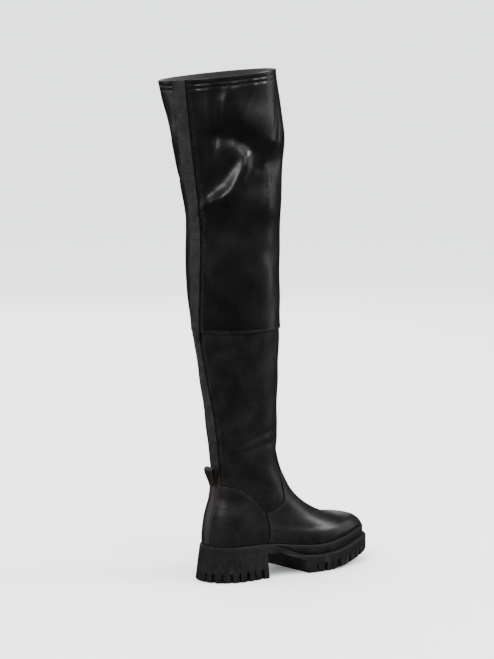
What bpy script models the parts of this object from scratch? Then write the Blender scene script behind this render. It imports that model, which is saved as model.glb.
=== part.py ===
"""Right thigh high boot on a cleated sole, as separate solids.

Metres, +Z up. The toe points to -Y, the outer side of the foot to -X, the inner side with the
zip to +X. The origin is on the floor, under the middle of the heel's tread.

A place on the skin of the boot is (turn, level). Turn goes round the boot: 0 on the inner side,
a quarter at the back, half on the outer side, three quarters at the front. Level climbs through
the sections: 0 where the skin meets the sole, one more for each row of the tables below.
"""
import bisect
import math

import bmesh
import bpy
import numpy as np
from mathutils import Vector

# Foot and sole
FOOT_LENGTH = 0.266
BALL_WIDTH = 0.0975
TOE_SWING = 0.004
HEEL_HEIGHT = 0.0485
BALL_HEIGHT = 0.0373
TOE_HEIGHT = 0.0500
TOE_SPRING = 0.0160
HEEL_TREAD = 0.083
SOLE_MARGIN = 0.0038
HEEL_FLARE = 0.0058
BUMPER = 0.0052
BAND_THICKNESS = 0.0128
ARCH_HEIGHT = 0.033
LUG_HEIGHT = 0.0125
LUG_DEPTH = 0.0100
LUG_PITCH = 0.0126
NARROW_SLOT = 0.0028
WIDE_SLOT = 0.0056
TREAD_GROOVE = 0.0045
TREAD_GROOVE_PITCH = 0.0165
TREAD_EDGE = 0.0015

# Leg
INSTEP_RISE = 0.107
ANKLE_DEPTH = 0.1015
ANKLE_WIDTH = 0.0730
ANKLE_FORWARD = 0.0316
KNEE_HEIGHT = 0.3520
KNEE_DEPTH = 0.1275
KNEE_WIDTH = 0.1020
KNEE_FORWARD = 0.0172
BOOT_HEIGHT = 0.6900
TOP_DEPTH = 0.1540
TOP_WIDTH = 0.1150
TOP_FORWARD = -0.0065
TOP_ASIDE = 0.0100
TOP_TWIST = math.radians(-38.0)
TOP_TILT = 0.0150

# Walls, overlays and clearances
CLEARANCE = 0.0003
UPPER_WALL = 0.0020
INSOLE_GAP = 0.0034
THIGH_WALL = 0.0016
THIGH_LAP = 0.0120
HEM_HEIGHT = 0.0240
HEM_EXTRA = 0.0010
OVERLAY = 0.0013
OVERLAY_SEAM = 0.0005
OVERLAY_FOOT = 0.25
INSOLE_THICKNESS = 0.0040
STRIP_WIDTH = 0.0172
STRIP_RISE = 0.0010
COUNTER_HEIGHT = 0.1288
LOOP_WIDTH = 0.0170
LOOP_HEIGHT = 0.0270
LOOP_LEATHER = 0.0016
LOOP_GAP = 0.0058

# Zip
ZIP_TURN = -0.022
ZIP_BOTTOM = 0.1080
ZIP_TOP = 0.2700
TAPE_WIDTH = 0.0160
TEETH_WIDTH = 0.0056
TEETH_RISE = 0.0016
SLIDER_LENGTH = 0.0105
SLIDER_WIDTH = 0.0086
SLIDER_PLATE = 0.0006
BRIDGE_LENGTH = 0.0080
BRIDGE_HEIGHT = 0.0034
BRIDGE_BAR = 0.0011
PULL_LENGTH = 0.0260
PULL_WIDTH = 0.0068
PULL_THICKNESS = 0.0012
PULL_WINDOW = 0.0066

# Faces round the boot
ROUND = 32

# Feather line: share of the foot from heel to toe, fullness on the outer and the inner side.
# Fullness is the half width as a share of the ball width, before the ends are rounded off.
OUTLINE = (
    (0.00, 0.660, 0.660),
    (0.10, 0.530, 0.530),
    (0.25, 0.395, 0.380),
    (0.45, 0.425, 0.345),
    (0.67, 0.545, 0.495),
    (0.85, 0.580, 0.580),
    (1.00, 0.700, 0.690),
)

# Rim of the sole: share of the foot, share of the drop from heel to ball, share of the rise to the toe.
RIM = (
    (0.00, 0.00, 0.00),
    (0.31, 0.26, 0.00),
    (0.46, 0.74, 0.00),
    (0.60, 1.00, 0.00),
    (0.79, 1.00, 0.37),
    (0.88, 1.00, 0.72),
    (1.00, 1.00, 1.00),
)

# Tread: share of the foot, share of the toe spring.
SPRING = ((0.00, 0.00), (0.62, 0.00), (0.79, 0.30), (0.90, 0.66), (1.00, 1.00))

# Foot sections from the feather line to the ankle. Front and back are shares of the foot from the
# heel, rises are shares of the instep rise over the sole's rim, plump scales the feather outline,
# last is how far the section still has the shape of the last, point sharpens its toe end, and
# side is the half width, as a share of the ankle's, that it takes on instead.
FOOT_SECTIONS = (
    # front, back, front rise, back rise, plump, last, point, side
    (1.000, 0.000, 0.000, 0.000, 1.000, 1.00, 1.00, 1.00),
    (0.992, 0.002, 0.036, 0.085, 1.030, 1.00, 1.00, 1.00),
    (0.953, 0.005, 0.112, 0.180, 1.020, 1.00, 1.00, 1.00),
    (0.900, 0.010, 0.150, 0.285, 0.975, 1.00, 1.05, 1.00),
    (0.828, 0.018, 0.206, 0.390, 0.950, 0.92, 1.30, 0.98),
    (0.757, 0.029, 0.264, 0.490, 0.930, 0.75, 1.55, 0.98),
    (0.687, 0.040, 0.338, 0.585, 0.920, 0.55, 1.55, 0.98),
    (0.616, 0.046, 0.430, 0.680, 0.920, 0.36, 1.40, 0.98),
    (0.549, 0.052, 0.545, 0.780, 0.920, 0.20, 1.20, 0.98),
    (0.494, 0.056, 0.700, 0.880, 0.920, 0.08, 1.08, 0.99),
)

# Leg sections from the ankle up. Height counts 0 at the ankle, 1 at the knee, 2 at the top; the
# next three are the shares of the ankle's, knee's and top's girth; lean is the share of the way
# that the middle has gone from the knee's to the top's.
LEG_SECTIONS = (
    # height, ankle, knee, top, lean
    (0.00, 1.00, 0.00, 0.00, 0.00),
    (0.16, 1.02, 0.01, 0.00, 0.00),
    (0.36, 0.82, 0.20, 0.00, 0.00),
    (0.60, 0.48, 0.53, 0.00, 0.00),
    (0.82, 0.15, 0.85, 0.00, 0.00),
    (1.00, 0.00, 1.00, 0.00, 0.00),
    (1.20, 0.00, 0.92, 0.09, 0.14),
    (1.44, 0.00, 0.82, 0.17, 0.13),
    (1.60, 0.00, 0.58, 0.41, 0.26),
    (1.80, 0.00, 0.24, 0.75, 0.53),
    (1.92, 0.00, 0.09, 0.90, 0.80),
    (2.00, 0.00, 0.00, 1.00, 1.00),
)

# Upper edge of the counter in side view, from back to sole: share of the foot from the middle of the
# heel towards the toe, share of the counter's height.
COUNTER_EDGE = (
    (-0.250, 1.000),
    (-0.085, 1.000),
    (-0.035, 1.000),
    (0.010, 0.972),
    (0.050, 0.915),
    (0.094, 0.840),
    (0.130, 0.755),
    (0.150, 0.706),
)
# Seam where counter and vamp meet, down to the sole, in the same shares.
SIDE_SEAM = ((0.158, 0.680), (0.170, 0.600), (0.177, 0.500), (0.173, 0.380), (0.165, 0.100))
# Upper edge of the vamp in side view, from that seam up to its peak in front of the ankle.
VAMP_EDGE = (
    (0.200, 0.714),
    (0.252, 0.757),
    (0.273, 0.795),
    (0.281, 0.850),
    (0.275, 0.960),
    (0.279, 1.100),
    (0.285, 1.220),
    (0.292, 1.290),
    (0.308, 1.335),
    (0.500, 1.335),
)

# Course of the back strip: levels over the ankle's, turn of its middle, share of the strip's width.
STRIP_COURSE = (
    (0, 0.252, 1.00),
    (1, 0.256, 1.00),
    (2, 0.252, 1.00),
    (3, 0.238, 1.00),
    (4, 0.230, 1.00),
    (5, 0.236, 1.03),
    (6, 0.260, 1.10),
    (7, 0.258, 1.18),
    (8, 0.255, 1.25),
    (9, 0.262, 1.27),
    (10, 0.273, 1.25),
    (11, 0.282, 1.20),
)

ANKLE_HEIGHT = HEEL_HEIGHT + INSTEP_RISE
SOLE_REAR = HEEL_TREAD / 2
HEEL_BACK = SOLE_REAR - HEEL_FLARE - SOLE_MARGIN


def rows_at(rows, place):
    """Smooth curve through the rows of a table, whose first column is the place."""
    places = [row[0] for row in rows]
    values = [np.array(row[1:], dtype=float) for row in rows]
    place = min(max(place, places[0]), places[-1])
    low = min(max(bisect.bisect_right(places, place) - 1, 0), len(rows) - 2)

    def slope(index):
        before = max(index - 1, 0)
        after = min(index + 1, len(rows) - 1)
        return (values[after] - values[before]) / (places[after] - places[before])

    span = places[low + 1] - places[low]
    u = (place - places[low]) / span
    start = values[low]
    end = values[low + 1]
    rise_in = slope(low) * span
    rise_out = slope(low + 1) * span
    return (
        (2 * u**3 - 3 * u**2 + 1) * start
        + (u**3 - 2 * u**2 + u) * rise_in
        + (3 * u**2 - 2 * u**3) * end
        + (u**3 - u**2) * rise_out
    )


def foot_y(share):
    """Distance along the foot, from its share between heel and toe."""
    return HEEL_BACK - share * FOOT_LENGTH


def foot_share(y):
    return (HEEL_BACK - y) / FOOT_LENGTH


def rim_height(y):
    """Top of the sole's side at this distance along the foot."""
    drop, rise = rows_at(RIM, foot_share(y))
    return HEEL_HEIGHT - drop * (HEEL_HEIGHT - BALL_HEIGHT) + rise * (TOE_HEIGHT - BALL_HEIGHT)


def tread_height(y):
    """Underside of the tread, flat as far as the ball, from where it lifts towards the toe."""
    return TOE_SPRING * max(rows_at(SPRING, foot_share(y))[0], 0.0)


def foot_section(front, back, front_rise, back_rise, plump, last, point, side):
    return {
        "front": foot_y(front),
        "back": foot_y(back),
        "front_height": HEEL_HEIGHT + front_rise * INSTEP_RISE,
        "back_height": HEEL_HEIGHT + back_rise * INSTEP_RISE,
        "plump": plump * BALL_WIDTH,
        "last": last,
        "point": point,
        "half_width": side * ANKLE_WIDTH / 2,
        "aside": 0.0,
        "twist": 0.0,
    }


def leg_section(height, ankle, knee, top, lean):
    climb = ANKLE_HEIGHT + min(height, 1.0) * (KNEE_HEIGHT - ANKLE_HEIGHT)
    climb += max(height - 1.0, 0.0) * (BOOT_HEIGHT - TOP_TILT / 2 - KNEE_HEIGHT)
    half_depth = (ankle * ANKLE_DEPTH + knee * KNEE_DEPTH + top * TOP_DEPTH) / 2
    forward = ANKLE_FORWARD + min(height, 1.0) * (KNEE_FORWARD - ANKLE_FORWARD)
    forward += lean * (TOP_FORWARD - KNEE_FORWARD)
    tilt = max(height - 1.0, 0.0) * TOP_TILT / 2
    return {
        "front": -forward - half_depth,
        "back": -forward + half_depth,
        "front_height": climb + tilt,
        "back_height": climb - tilt,
        "plump": BALL_WIDTH,
        "last": 0.0,
        "point": 1.0,
        "half_width": (ankle * ANKLE_WIDTH + knee * KNEE_WIDTH + top * TOP_WIDTH) / 2,
        "aside": lean * TOP_ASIDE,
        "twist": top * TOP_TWIST,
    }


SECTIONS = [foot_section(*row) for row in FOOT_SECTIONS] + [leg_section(*row) for row in LEG_SECTIONS]
COLUMNS = tuple(SECTIONS[0])
SECTION_ROWS = tuple((level,) + tuple(section[name] for name in COLUMNS) for level, section in enumerate(SECTIONS))
FEATHER = 0.0
ANKLE = float(len(FOOT_SECTIONS))
TOP = float(len(SECTIONS) - 1)
KNEE = ANKLE + [row[0] for row in LEG_SECTIONS].index(1.0)


def skin(turn, level):
    """Point on the outer skin."""
    section = dict(zip(COLUMNS, rows_at(SECTION_ROWS, level)))
    angle = turn * math.tau - section["twist"]
    along = math.sin(angle)
    across = math.cos(angle)
    half = (section["back"] - section["front"]) / 2
    middle = (section["back"] + section["front"]) / 2
    y = middle + half * along
    share = min(max(foot_share(y), 0.0), 1.0)
    outer, inner = rows_at(OUTLINE, share)
    fullness = outer if across < 0 else inner
    sharpness = 1.0 + (section["point"] - 1.0) * max(-along, 0.0)
    reach = section["last"] * section["plump"] * fullness + (1.0 - section["last"]) * section["half_width"]
    x = math.copysign(reach * abs(across) ** sharpness, across)
    spin = section["twist"]
    dx = x * math.cos(spin) - half * along * math.sin(spin)
    dy = x * math.sin(spin) + half * along * math.cos(spin)
    climb = ((1.0 + along) / 2) ** (1.0 - 0.4 * section["last"])
    height = section["front_height"] + climb * (section["back_height"] - section["front_height"])
    swing = section["last"] * TOE_SWING * max(share - 0.5, 0.0) * 2
    z = height + section["last"] * (rim_height(y) - HEEL_HEIGHT)
    return Vector((section["aside"] + dx + swing, middle + dy, z))


def skin_normal(turn, level):
    """Outward normal of the skin."""
    step = 0.004
    round_step = skin(turn + step, level) - skin(turn - step, level)
    low = max(level - 10 * step, FEATHER)
    high = min(level + 10 * step, TOP)
    climb_step = skin(turn, high) - skin(turn, low)
    return round_step.cross(climb_step).normalized()


GRID_LEVELS = [half / 2 for half in range(int(TOP) * 2 + 1) if half % 2 == 0 or not ANKLE < half / 2 < KNEE]
GRID = {}


def grid_corner(column, row):
    """Skin point and outward normal at a corner of the facets, worked out once."""
    key = (column % ROUND, row)
    if key not in GRID:
        turn = key[0] / ROUND
        GRID[key] = (skin(turn, GRID_LEVELS[row]), skin_normal(turn, GRID_LEVELS[row]))
    return GRID[key]


def raised(turn, level, offset):
    """Point at a distance from the faceted skin, so that every piece follows the same facets."""
    column = math.floor(turn * ROUND + 1e-9)
    row = min(bisect.bisect_right(GRID_LEVELS, level + 1e-9) - 1, len(GRID_LEVELS) - 2)
    u = turn * ROUND - column
    v = (level - GRID_LEVELS[row]) / (GRID_LEVELS[row + 1] - GRID_LEVELS[row])
    place = Vector((0.0, 0.0, 0.0))
    for along, along_weight in ((0, 1 - u), (1, u)):
        for up, up_weight in ((0, 1 - v), (1, v)):
            point, out = grid_corner(column + along, row + up)
            place += (point + out * offset) * (along_weight * up_weight)
    return place


def level_at(turn, height):
    """Level at which the skin reaches a height above the floor."""
    low = FEATHER
    high = TOP
    for _ in range(30):
        middle = (low + high) / 2
        if raised(turn, middle, 0.0).z < height:
            low = middle
        else:
            high = middle
    return (low + high) / 2


def levels_between(low, high):
    """Ends of a stretch and the facet lines between them."""
    return [low] + [level for level in GRID_LEVELS if low + 1e-6 < level < high - 1e-6] + [high]


def material(name, colour, roughness, metallic=0.0):
    made = bpy.data.materials.new(name)
    made.use_nodes = True
    shader = made.node_tree.nodes["Principled BSDF"]
    shader.inputs["Base Color"].default_value = (*colour, 1.0)
    shader.inputs["Roughness"].default_value = roughness
    shader.inputs["Metallic"].default_value = metallic
    return made


def new_object(name, bm, finish=None):
    """Object from the faces, a cutter where it has no finish."""
    bmesh.ops.recalc_face_normals(bm, faces=bm.faces)
    mesh = bpy.data.meshes.new(name)
    bm.to_mesh(mesh)
    bm.free()
    made = bpy.data.objects.new(name, mesh)
    if finish:
        mesh.materials.append(finish)
    else:
        made.hide_render = True
        made.display_type = "WIRE"
    bpy.context.scene.collection.objects.link(made)
    return made


def cut(target, tool, operation="DIFFERENCE"):
    modifier = target.modifiers.new(tool.name, "BOOLEAN")
    modifier.operation = operation
    modifier.object = tool
    modifier.solver = "EXACT"


def closed_grid(bm, rings, wrap, descending=None):
    """Faces between rows of points, joined end to end both ways where wrap says so.

    With descending, faces are triangles, and from that row on the rings run down the boot, so
    their diagonals change over and walls that lie on each other bend along the same lines.
    """
    rows = [[bm.verts.new(point) for point in ring] for ring in rings]
    row_count = len(rows)
    column_count = len(rows[0])
    for i in range(row_count if wrap[0] else row_count - 1):
        for j in range(column_count if wrap[1] else column_count - 1):
            after_i = (i + 1) % row_count
            after_j = (j + 1) % column_count
            corners = [rows[i][j], rows[i][after_j], rows[after_i][after_j], rows[after_i][j]]
            if descending is None:
                bm.faces.new(corners)
            elif i < descending:
                bm.faces.new(corners[:3])
                bm.faces.new((corners[0], corners[2], corners[3]))
            else:
                bm.faces.new((corners[0], corners[1], corners[3]))
                bm.faces.new(corners[1:])
    return rows


def tube_wall(name, levels, outer, inner, finish):
    """Hollow wall right round the boot, flat at both ends."""
    rings = []
    for offset, order in ((outer, levels), (inner, levels[::-1])):
        for level in order:
            ring = [raised(index / ROUND, level, offset(level)) for index in range(ROUND)]
            if level in (levels[0], levels[-1]):
                for index, point in enumerate(ring):
                    point.z = raised(index / ROUND, level, 0.0).z
            rings.append(ring)
    bm = bmesh.new()
    closed_grid(bm, rings, (True, True), len(levels))
    return new_object(name, bm, finish)


def feather_point(turn, margin):
    """Feather line in plan, moved out by the margin."""
    here = skin(turn, FEATHER)
    ahead = skin(turn + 0.003, FEATHER) - skin(turn - 0.003, FEATHER)
    out = Vector((ahead.y, -ahead.x, 0.0)).normalized()
    return Vector((here.x, here.y, 0.0)) + out * margin


def fore(share):
    """0 on the heel block, 1 on the forefoot."""
    return min(max((share - 0.30) / 0.16, 0.0), 1.0)


def sole_block(name, band, finish):
    """Whole sole, or the band's own outline, from the tread to the rim."""
    turns = [index / (ROUND * 2) for index in range(ROUND * 2)]
    bm = bmesh.new()
    rings = []
    for ring_name in ("edge", "tread", "lug top", "shoulder", "under band", "rim"):
        ring = []
        for turn in turns:
            share = foot_share(feather_point(turn, SOLE_MARGIN).y)
            front = fore(share)
            low_margin = SOLE_MARGIN + (1 - front) * HEEL_FLARE + front * BUMPER
            y = feather_point(turn, SOLE_MARGIN).y
            rim = rim_height(y)
            tread = tread_height(y)
            joint = rim - BAND_THICKNESS
            heights = {
                "edge": (tread, low_margin - TREAD_EDGE),
                "tread": (tread + TREAD_EDGE, low_margin),
                "lug top": (tread + LUG_HEIGHT, low_margin - (1 - front) * HEEL_FLARE * 0.25),
                "shoulder": (joint - 0.0030, SOLE_MARGIN + (1 - front) * HEEL_FLARE * 0.35 + front * BUMPER),
                "under band": (joint, SOLE_MARGIN + (1 - front) * HEEL_FLARE * 0.25),
                "rim": (rim, SOLE_MARGIN),
            }
            height, margin = heights[ring_name]
            if band:
                margin = SOLE_MARGIN
            point = feather_point(turn, margin)
            point.z = height
            ring.append(point)
        rings.append(ring)
    rows = closed_grid(bm, rings, (False, True))
    half = len(turns) // 2
    quarter = half // 2
    for row in (rows[0], rows[-1]):
        order = row[quarter:] + row[:quarter]
        for k in range(half):
            left = order[k]
            left_next = order[k + 1]
            right = order[-k % (2 * half)]
            right_next = order[-(k + 1) % (2 * half)]
            corners = []
            for corner in (left, left_next, right_next, right):
                if corner not in corners:
                    corners.append(corner)
            bm.faces.new(corners)
    return new_object(name, bm, finish)


def side_profile(name, points):
    """Cutter with a side view given as (y, z), right across the boot."""
    bm = bmesh.new()
    rings = [[Vector((x, y, z)) for y, z in points] for x in (-BALL_WIDTH, BALL_WIDTH)]
    rows = closed_grid(bm, rings, (False, True))
    for row in rows:
        bm.faces.new(row)
    return new_object(name, bm)


def box_between(bm, centre, along, out, half_along, half_out, low, high):
    """Upright box round a centre, with its sides along two directions in plan."""
    corners = []
    for z in (low, high):
        for a, b in ((-1, -1), (1, -1), (1, 1), (-1, 1)):
            spot = centre + along * (a * half_along) + out * (b * half_out)
            corners.append(bm.verts.new((spot.x, spot.y, z)))
    faces = ((0, 3, 2, 1), (4, 5, 6, 7), (0, 1, 5, 4), (1, 2, 6, 5), (2, 3, 7, 6), (3, 0, 4, 7))
    for face in faces:
        bm.faces.new([corners[index] for index in face])


ARCH_REAR = -SOLE_REAR
ARCH_FRONT = -0.1050
BAND_REAR = -0.0560


def arch_cutter():
    """Gap between heel and forefoot: upright breast, level waist, slope down to the forefoot."""
    run = ARCH_REAR - ARCH_FRONT
    points = [
        (ARCH_REAR, -0.01),
        (ARCH_REAR, ARCH_HEIGHT),
        (ARCH_REAR - run * 0.28, ARCH_HEIGHT),
        (ARCH_REAR - run * 0.42, ARCH_HEIGHT * 0.92),
        (ARCH_REAR - run * 0.86, ARCH_HEIGHT * 0.60),
        (ARCH_REAR - run * 0.97, ARCH_HEIGHT * 0.56),
        (ARCH_FRONT, ARCH_HEIGHT * 0.10),
        (ARCH_FRONT - 0.0040, -0.01),
    ]
    return side_profile("arch_cutter", points)


def band_floor(y):
    """Underside of the midsole band, which runs out at the waist."""
    share = min(max((BAND_REAR - y) / (BAND_REAR - ARCH_FRONT), 0.0), 1.0)
    blend = share * share * (3 - 2 * share)
    return rim_height(y) - BAND_THICKNESS * (0.22 + 0.78 * blend)


def band_cutter(name, shift):
    """Space of the midsole band over its underside, moved down by the shift."""
    toe = foot_y(1.0) - 0.02
    count = 16
    stations = [BAND_REAR + shift + (toe - BAND_REAR - shift) * k / count for k in range(count + 1)]
    points = [(y, band_floor(y) - shift) for y in stations]
    points += [(toe, TOE_HEIGHT + 0.03), (BAND_REAR + shift, TOE_HEIGHT + 0.03)]
    return side_profile(name, points)


def lug_slots():
    """Slots in the edge of the tread, a narrow and a wide one in turn, round heel and forefoot."""
    count = 720
    turns = [0.25 + index / count for index in range(count + 1)]
    line = [feather_point(turn, SOLE_MARGIN + BUMPER) for turn in turns]
    run = [0.0]
    for before, after in zip(line, line[1:]):
        run.append(run[-1] + (after - before).length)
    bm = bmesh.new()
    number = 0
    place = LUG_PITCH / 2
    while place < run[-1]:
        index = min(bisect.bisect_left(run, place), count - 1)
        here = line[index]
        along = (line[index + 1] - line[index - 1]).normalized()
        out = Vector((along.y, -along.x, 0.0))
        on_heel = here.y > ARCH_REAR + 0.005
        on_forefoot = here.y < ARCH_FRONT - 0.009
        if on_heel or on_forefoot:
            width = WIDE_SLOT if number % 2 else NARROW_SLOT
            floor = tread_height(here.y)
            centre = here + out * 0.004
            reach = LUG_DEPTH / 2 + 0.004
            box_between(bm, centre, along, out, width / 2, reach, -0.005, floor + LUG_HEIGHT)
        number += 1
        place += LUG_PITCH
    return new_object("lug_cutter", bm)


def tread_grooves():
    """Cross grooves under the tread, clear of the edge slots and of the two resting spots."""
    bm = bmesh.new()
    heel_places = [-TREAD_GROOVE_PITCH, TREAD_GROOVE_PITCH]
    front_places = [ARCH_FRONT - TREAD_GROOVE_PITCH * (k + 0.5) for k in range(6)]
    for y in heel_places + front_places:
        turn_low = min(
            (abs(feather_point(k / 200, 0.0).y - y), abs(feather_point(k / 200, 0.0).x)) for k in range(200)
        )[1]
        half = max(turn_low - LUG_DEPTH - 0.006, 0.004)
        top = tread_height(y) + TREAD_GROOVE
        box_between(
            bm, Vector((0.0, y, 0.0)), Vector((1, 0, 0)), Vector((0, 1, 0)), half, TREAD_GROOVE / 2, -0.005, top
        )
    return new_object("groove_cutter", bm)


def make_sole():
    rubber = material("sole_rubber", (0.024, 0.024, 0.025), 0.62)
    outsole = sole_block("outsole", False, rubber)
    cut(outsole, arch_cutter())
    cut(outsole, band_cutter("band_seat_cutter", CLEARANCE))
    cut(outsole, lug_slots())
    cut(outsole, tread_grooves())
    midsole = sole_block("midsole", True, material("midsole_rubber", (0.022, 0.022, 0.023), 0.55))
    cut(midsole, band_cutter("band_cutter", 0.0), "INTERSECT")


def make_insole():
    """Footbed inside the upper, on the sole."""
    bm = bmesh.new()
    turns = [index / ROUND for index in range(ROUND)]
    rings = []
    for rise in (CLEARANCE, INSOLE_THICKNESS):
        ring = []
        for turn in turns:
            point = feather_point(turn, -UPPER_WALL - INSOLE_GAP)
            point.z = rim_height(point.y) + CLEARANCE + rise
            ring.append(point)
        rings.append(ring)
    rows = closed_grid(bm, rings, (False, True))
    half = ROUND // 2
    quarter = half // 2
    for row in rows:
        order = row[quarter:] + row[:quarter]
        for k in range(half):
            corners = []
            for corner in (order[k], order[k + 1], order[-(k + 1) % ROUND], order[-k % ROUND]):
                if corner not in corners:
                    corners.append(corner)
            bm.faces.new(corners)
    return new_object("insole", bm, material("insole_leather", (0.045, 0.040, 0.036), 0.7))


def make_upper():
    """Foot and lower leg, up into the lap under the thigh panel."""
    leather = material("satin_leather", (0.012, 0.011, 0.011), 0.38)
    wall = tube_wall("upper", levels_between(FEATHER, KNEE), lambda level: 0.0, lambda level: -UPPER_WALL, leather)
    for vertex in wall.data.vertices:
        if vertex.co.z < TOE_HEIGHT + UPPER_WALL:
            vertex.co.z = max(vertex.co.z, rim_height(vertex.co.y) + CLEARANCE)


def make_thigh():
    """Stretch panel of the upper leg, with a thicker hem round the top."""
    finish = material("stretch_coated_leather", (0.010, 0.010, 0.011), 0.24)
    foot = level_at(0.25, KNEE_HEIGHT - THIGH_LAP)
    hem = level_at(0.25, BOOT_HEIGHT - TOP_TILT - HEM_HEIGHT)
    hem_top = level_at(0.25, BOOT_HEIGHT - TOP_TILT - HEM_HEIGHT * 0.9)
    levels = sorted(levels_between(foot, TOP) + [hem, hem_top])
    tube_wall(
        "thigh_shaft",
        levels,
        lambda level: CLEARANCE + THIGH_WALL,
        lambda level: CLEARANCE if level <= hem else CLEARANCE - HEM_EXTRA,
        finish,
    )


def edge_points(shares, shift=0.0):
    """Side view points of an overlay's edge."""
    return [(-share * FOOT_LENGTH - shift, height * COUNTER_HEIGHT) for share, height in shares]


def overlay(name, top, outline, finish):
    """Overlay cut out of a thin shell round the upper by its side view."""
    shell = tube_wall(
        name,
        levels_between(OVERLAY_FOOT, top),
        lambda level: CLEARANCE + OVERLAY,
        lambda level: CLEARANCE,
        finish,
    )
    cut(shell, side_profile(name + "_cutter", outline), "INTERSECT")


def make_counter():
    outline = edge_points(COUNTER_EDGE) + edge_points(SIDE_SEAM)
    outline.append((FOOT_LENGTH * 0.25, HEEL_HEIGHT * 0.5))
    overlay("counter", ANKLE, outline, material("counter_leather", (0.013, 0.012, 0.012), 0.36))


def make_vamp():
    toe = foot_y(1.0) - OVERLAY * 4
    outline = edge_points(SIDE_SEAM[::-1], OVERLAY_SEAM) + edge_points(VAMP_EDGE)
    outline += [(toe, COUNTER_HEIGHT), (toe, 0.0)]
    overlay("vamp", ANKLE + 2, outline, material("vamp_leather", (0.012, 0.011, 0.011), 0.34))


def strip_lift(height):
    """How far the back strip's underside stands off the lower leg's skin."""
    ramp = min(max((height - KNEE_HEIGHT + THIGH_LAP + 0.012) / 0.008, 0.0), 1.0)
    return 2 * CLEARANCE + ramp * (THIGH_WALL + CLEARANCE)


def make_back_strip():
    finish = material("ribbed_elastic", (0.028, 0.024, 0.022), 0.60)
    bottom = level_at(0.25, COUNTER_HEIGHT + 2 * CLEARANCE)
    lap = level_at(0.25, KNEE_HEIGHT - THIGH_LAP)
    ramp = [level_at(0.25, KNEE_HEIGHT - THIGH_LAP - rise) for rise in (0.012, 0.004)]
    steps = 6
    rings = []
    for level in sorted(levels_between(bottom, TOP) + ramp + [lap]):
        middle, width = rows_at(STRIP_COURSE, level - ANKLE)
        here = raised(middle, level, 0.0)
        girth = (raised(middle + 0.01, level, 0.0) - here).length / 0.01
        half = STRIP_WIDTH * width / 2 / girth
        lift = strip_lift(here.z)
        spots = [middle + half * (index / steps * 2 - 1) for index in range(steps + 1)]
        ring = [raised(turn, level, lift + STRIP_RISE) for turn in spots]
        ring += [raised(turn, level, lift) for turn in reversed(spots)]
        rings.append(ring)
    bm = bmesh.new()
    rows = closed_grid(bm, rings, (False, True))
    for row in (rows[0], rows[-1]):
        for j in range(steps):
            bm.faces.new((row[j], row[j + 1], row[2 * steps - j], row[2 * steps + 1 - j]))
    return new_object("back_strip", bm, finish)


def make_pull_loop():
    """Folded leather loop that stands off the back strip, sewn down above the counter."""
    finish = material("loop_leather", (0.016, 0.014, 0.013), 0.42)
    low = COUNTER_HEIGHT + CLEARANCE
    back = raised(0.25, level_at(0.25, low), strip_lift(low) + STRIP_RISE).y + CLEARANCE
    arc = 8
    radius = LOOP_GAP / 2 + LOOP_LEATHER
    outer = [(0.0, 0.0)]
    inner = [(LOOP_LEATHER, LOOP_LEATHER * 1.5)]
    for k in range(arc + 1):
        angle = math.pi - math.pi * k / arc
        outer.append((radius + radius * math.cos(angle), LOOP_HEIGHT - radius + radius * math.sin(angle)))
        small = radius - LOOP_LEATHER
        inner.append((radius + small * math.cos(angle), LOOP_HEIGHT - radius + small * math.sin(angle)))
    outer.append((2 * LOOP_LEATHER + 0.0006, 0.0))
    inner.append((LOOP_LEATHER + 0.0006, LOOP_LEATHER * 1.5))
    bm = bmesh.new()
    rings = []
    for side in (-1, 1):
        for profile in (outer, inner):
            ring = []
            for y, z in profile:
                width = LOOP_WIDTH * (0.40 + 0.10 * z / LOOP_HEIGHT)
                lean = 0.10 * z
                ring.append(Vector((side * width, back + y + lean, low + z)))
            rings.append(ring)
    rows = [[bm.verts.new(point) for point in ring] for ring in rings]
    order = (rows[0], rows[1], rows[3], rows[2])
    count = len(outer)
    for a, b in zip(order, order[1:] + order[:1]):
        for j in range(count):
            bm.faces.new((a[j], a[(j + 1) % count], b[(j + 1) % count], b[j]))
    return new_object("pull_loop", bm, finish)


def zip_frame(height):
    """Point on the skin, outward, along and across directions of the zip at a height."""
    level = level_at(ZIP_TURN, height)
    here = raised(ZIP_TURN, level, 0.0)
    out = skin_normal(ZIP_TURN, level)
    up = skin(ZIP_TURN, level + 0.05) - skin(ZIP_TURN, level - 0.05)
    up = (up - out * up.dot(out)).normalized()
    return here, out, up, out.cross(up)


def zip_run(name, width, low_rise, high_rise, top, finish):
    bm = bmesh.new()
    rings = []
    for level in levels_between(level_at(ZIP_TURN, ZIP_BOTTOM), level_at(ZIP_TURN, top)):
        girth = (raised(ZIP_TURN + 0.01, level, 0.0) - raised(ZIP_TURN, level, 0.0)).length / 0.01
        spots = [ZIP_TURN + width / girth * share for share in (-0.5, 0.0, 0.5)]
        ring = [raised(turn, level, high_rise) for turn in spots]
        ring += [raised(turn, level, low_rise) for turn in reversed(spots)]
        rings.append(ring)
    rows = closed_grid(bm, rings, (False, True))
    for row in (rows[0], rows[-1]):
        for j in range(2):
            bm.faces.new((row[j], row[j + 1], row[4 - j], row[5 - j]))
    return new_object(name, bm, finish)


def solid_from_outline(name, centre, axes, outline, depth, finish=None):
    """Prism: an outline in the first two axes, with its depth along the third."""
    bm = bmesh.new()
    rows = []
    for end in depth:
        rows.append([bm.verts.new(centre + axes[0] * a + axes[1] * b + axes[2] * end) for a, b in outline])
    count = len(outline)
    for j in range(count):
        bm.faces.new((rows[0][j], rows[0][(j + 1) % count], rows[1][(j + 1) % count], rows[1][j]))
    bm.faces.new(rows[0])
    bm.faces.new(rows[1])
    return new_object(name, bm, finish)


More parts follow.
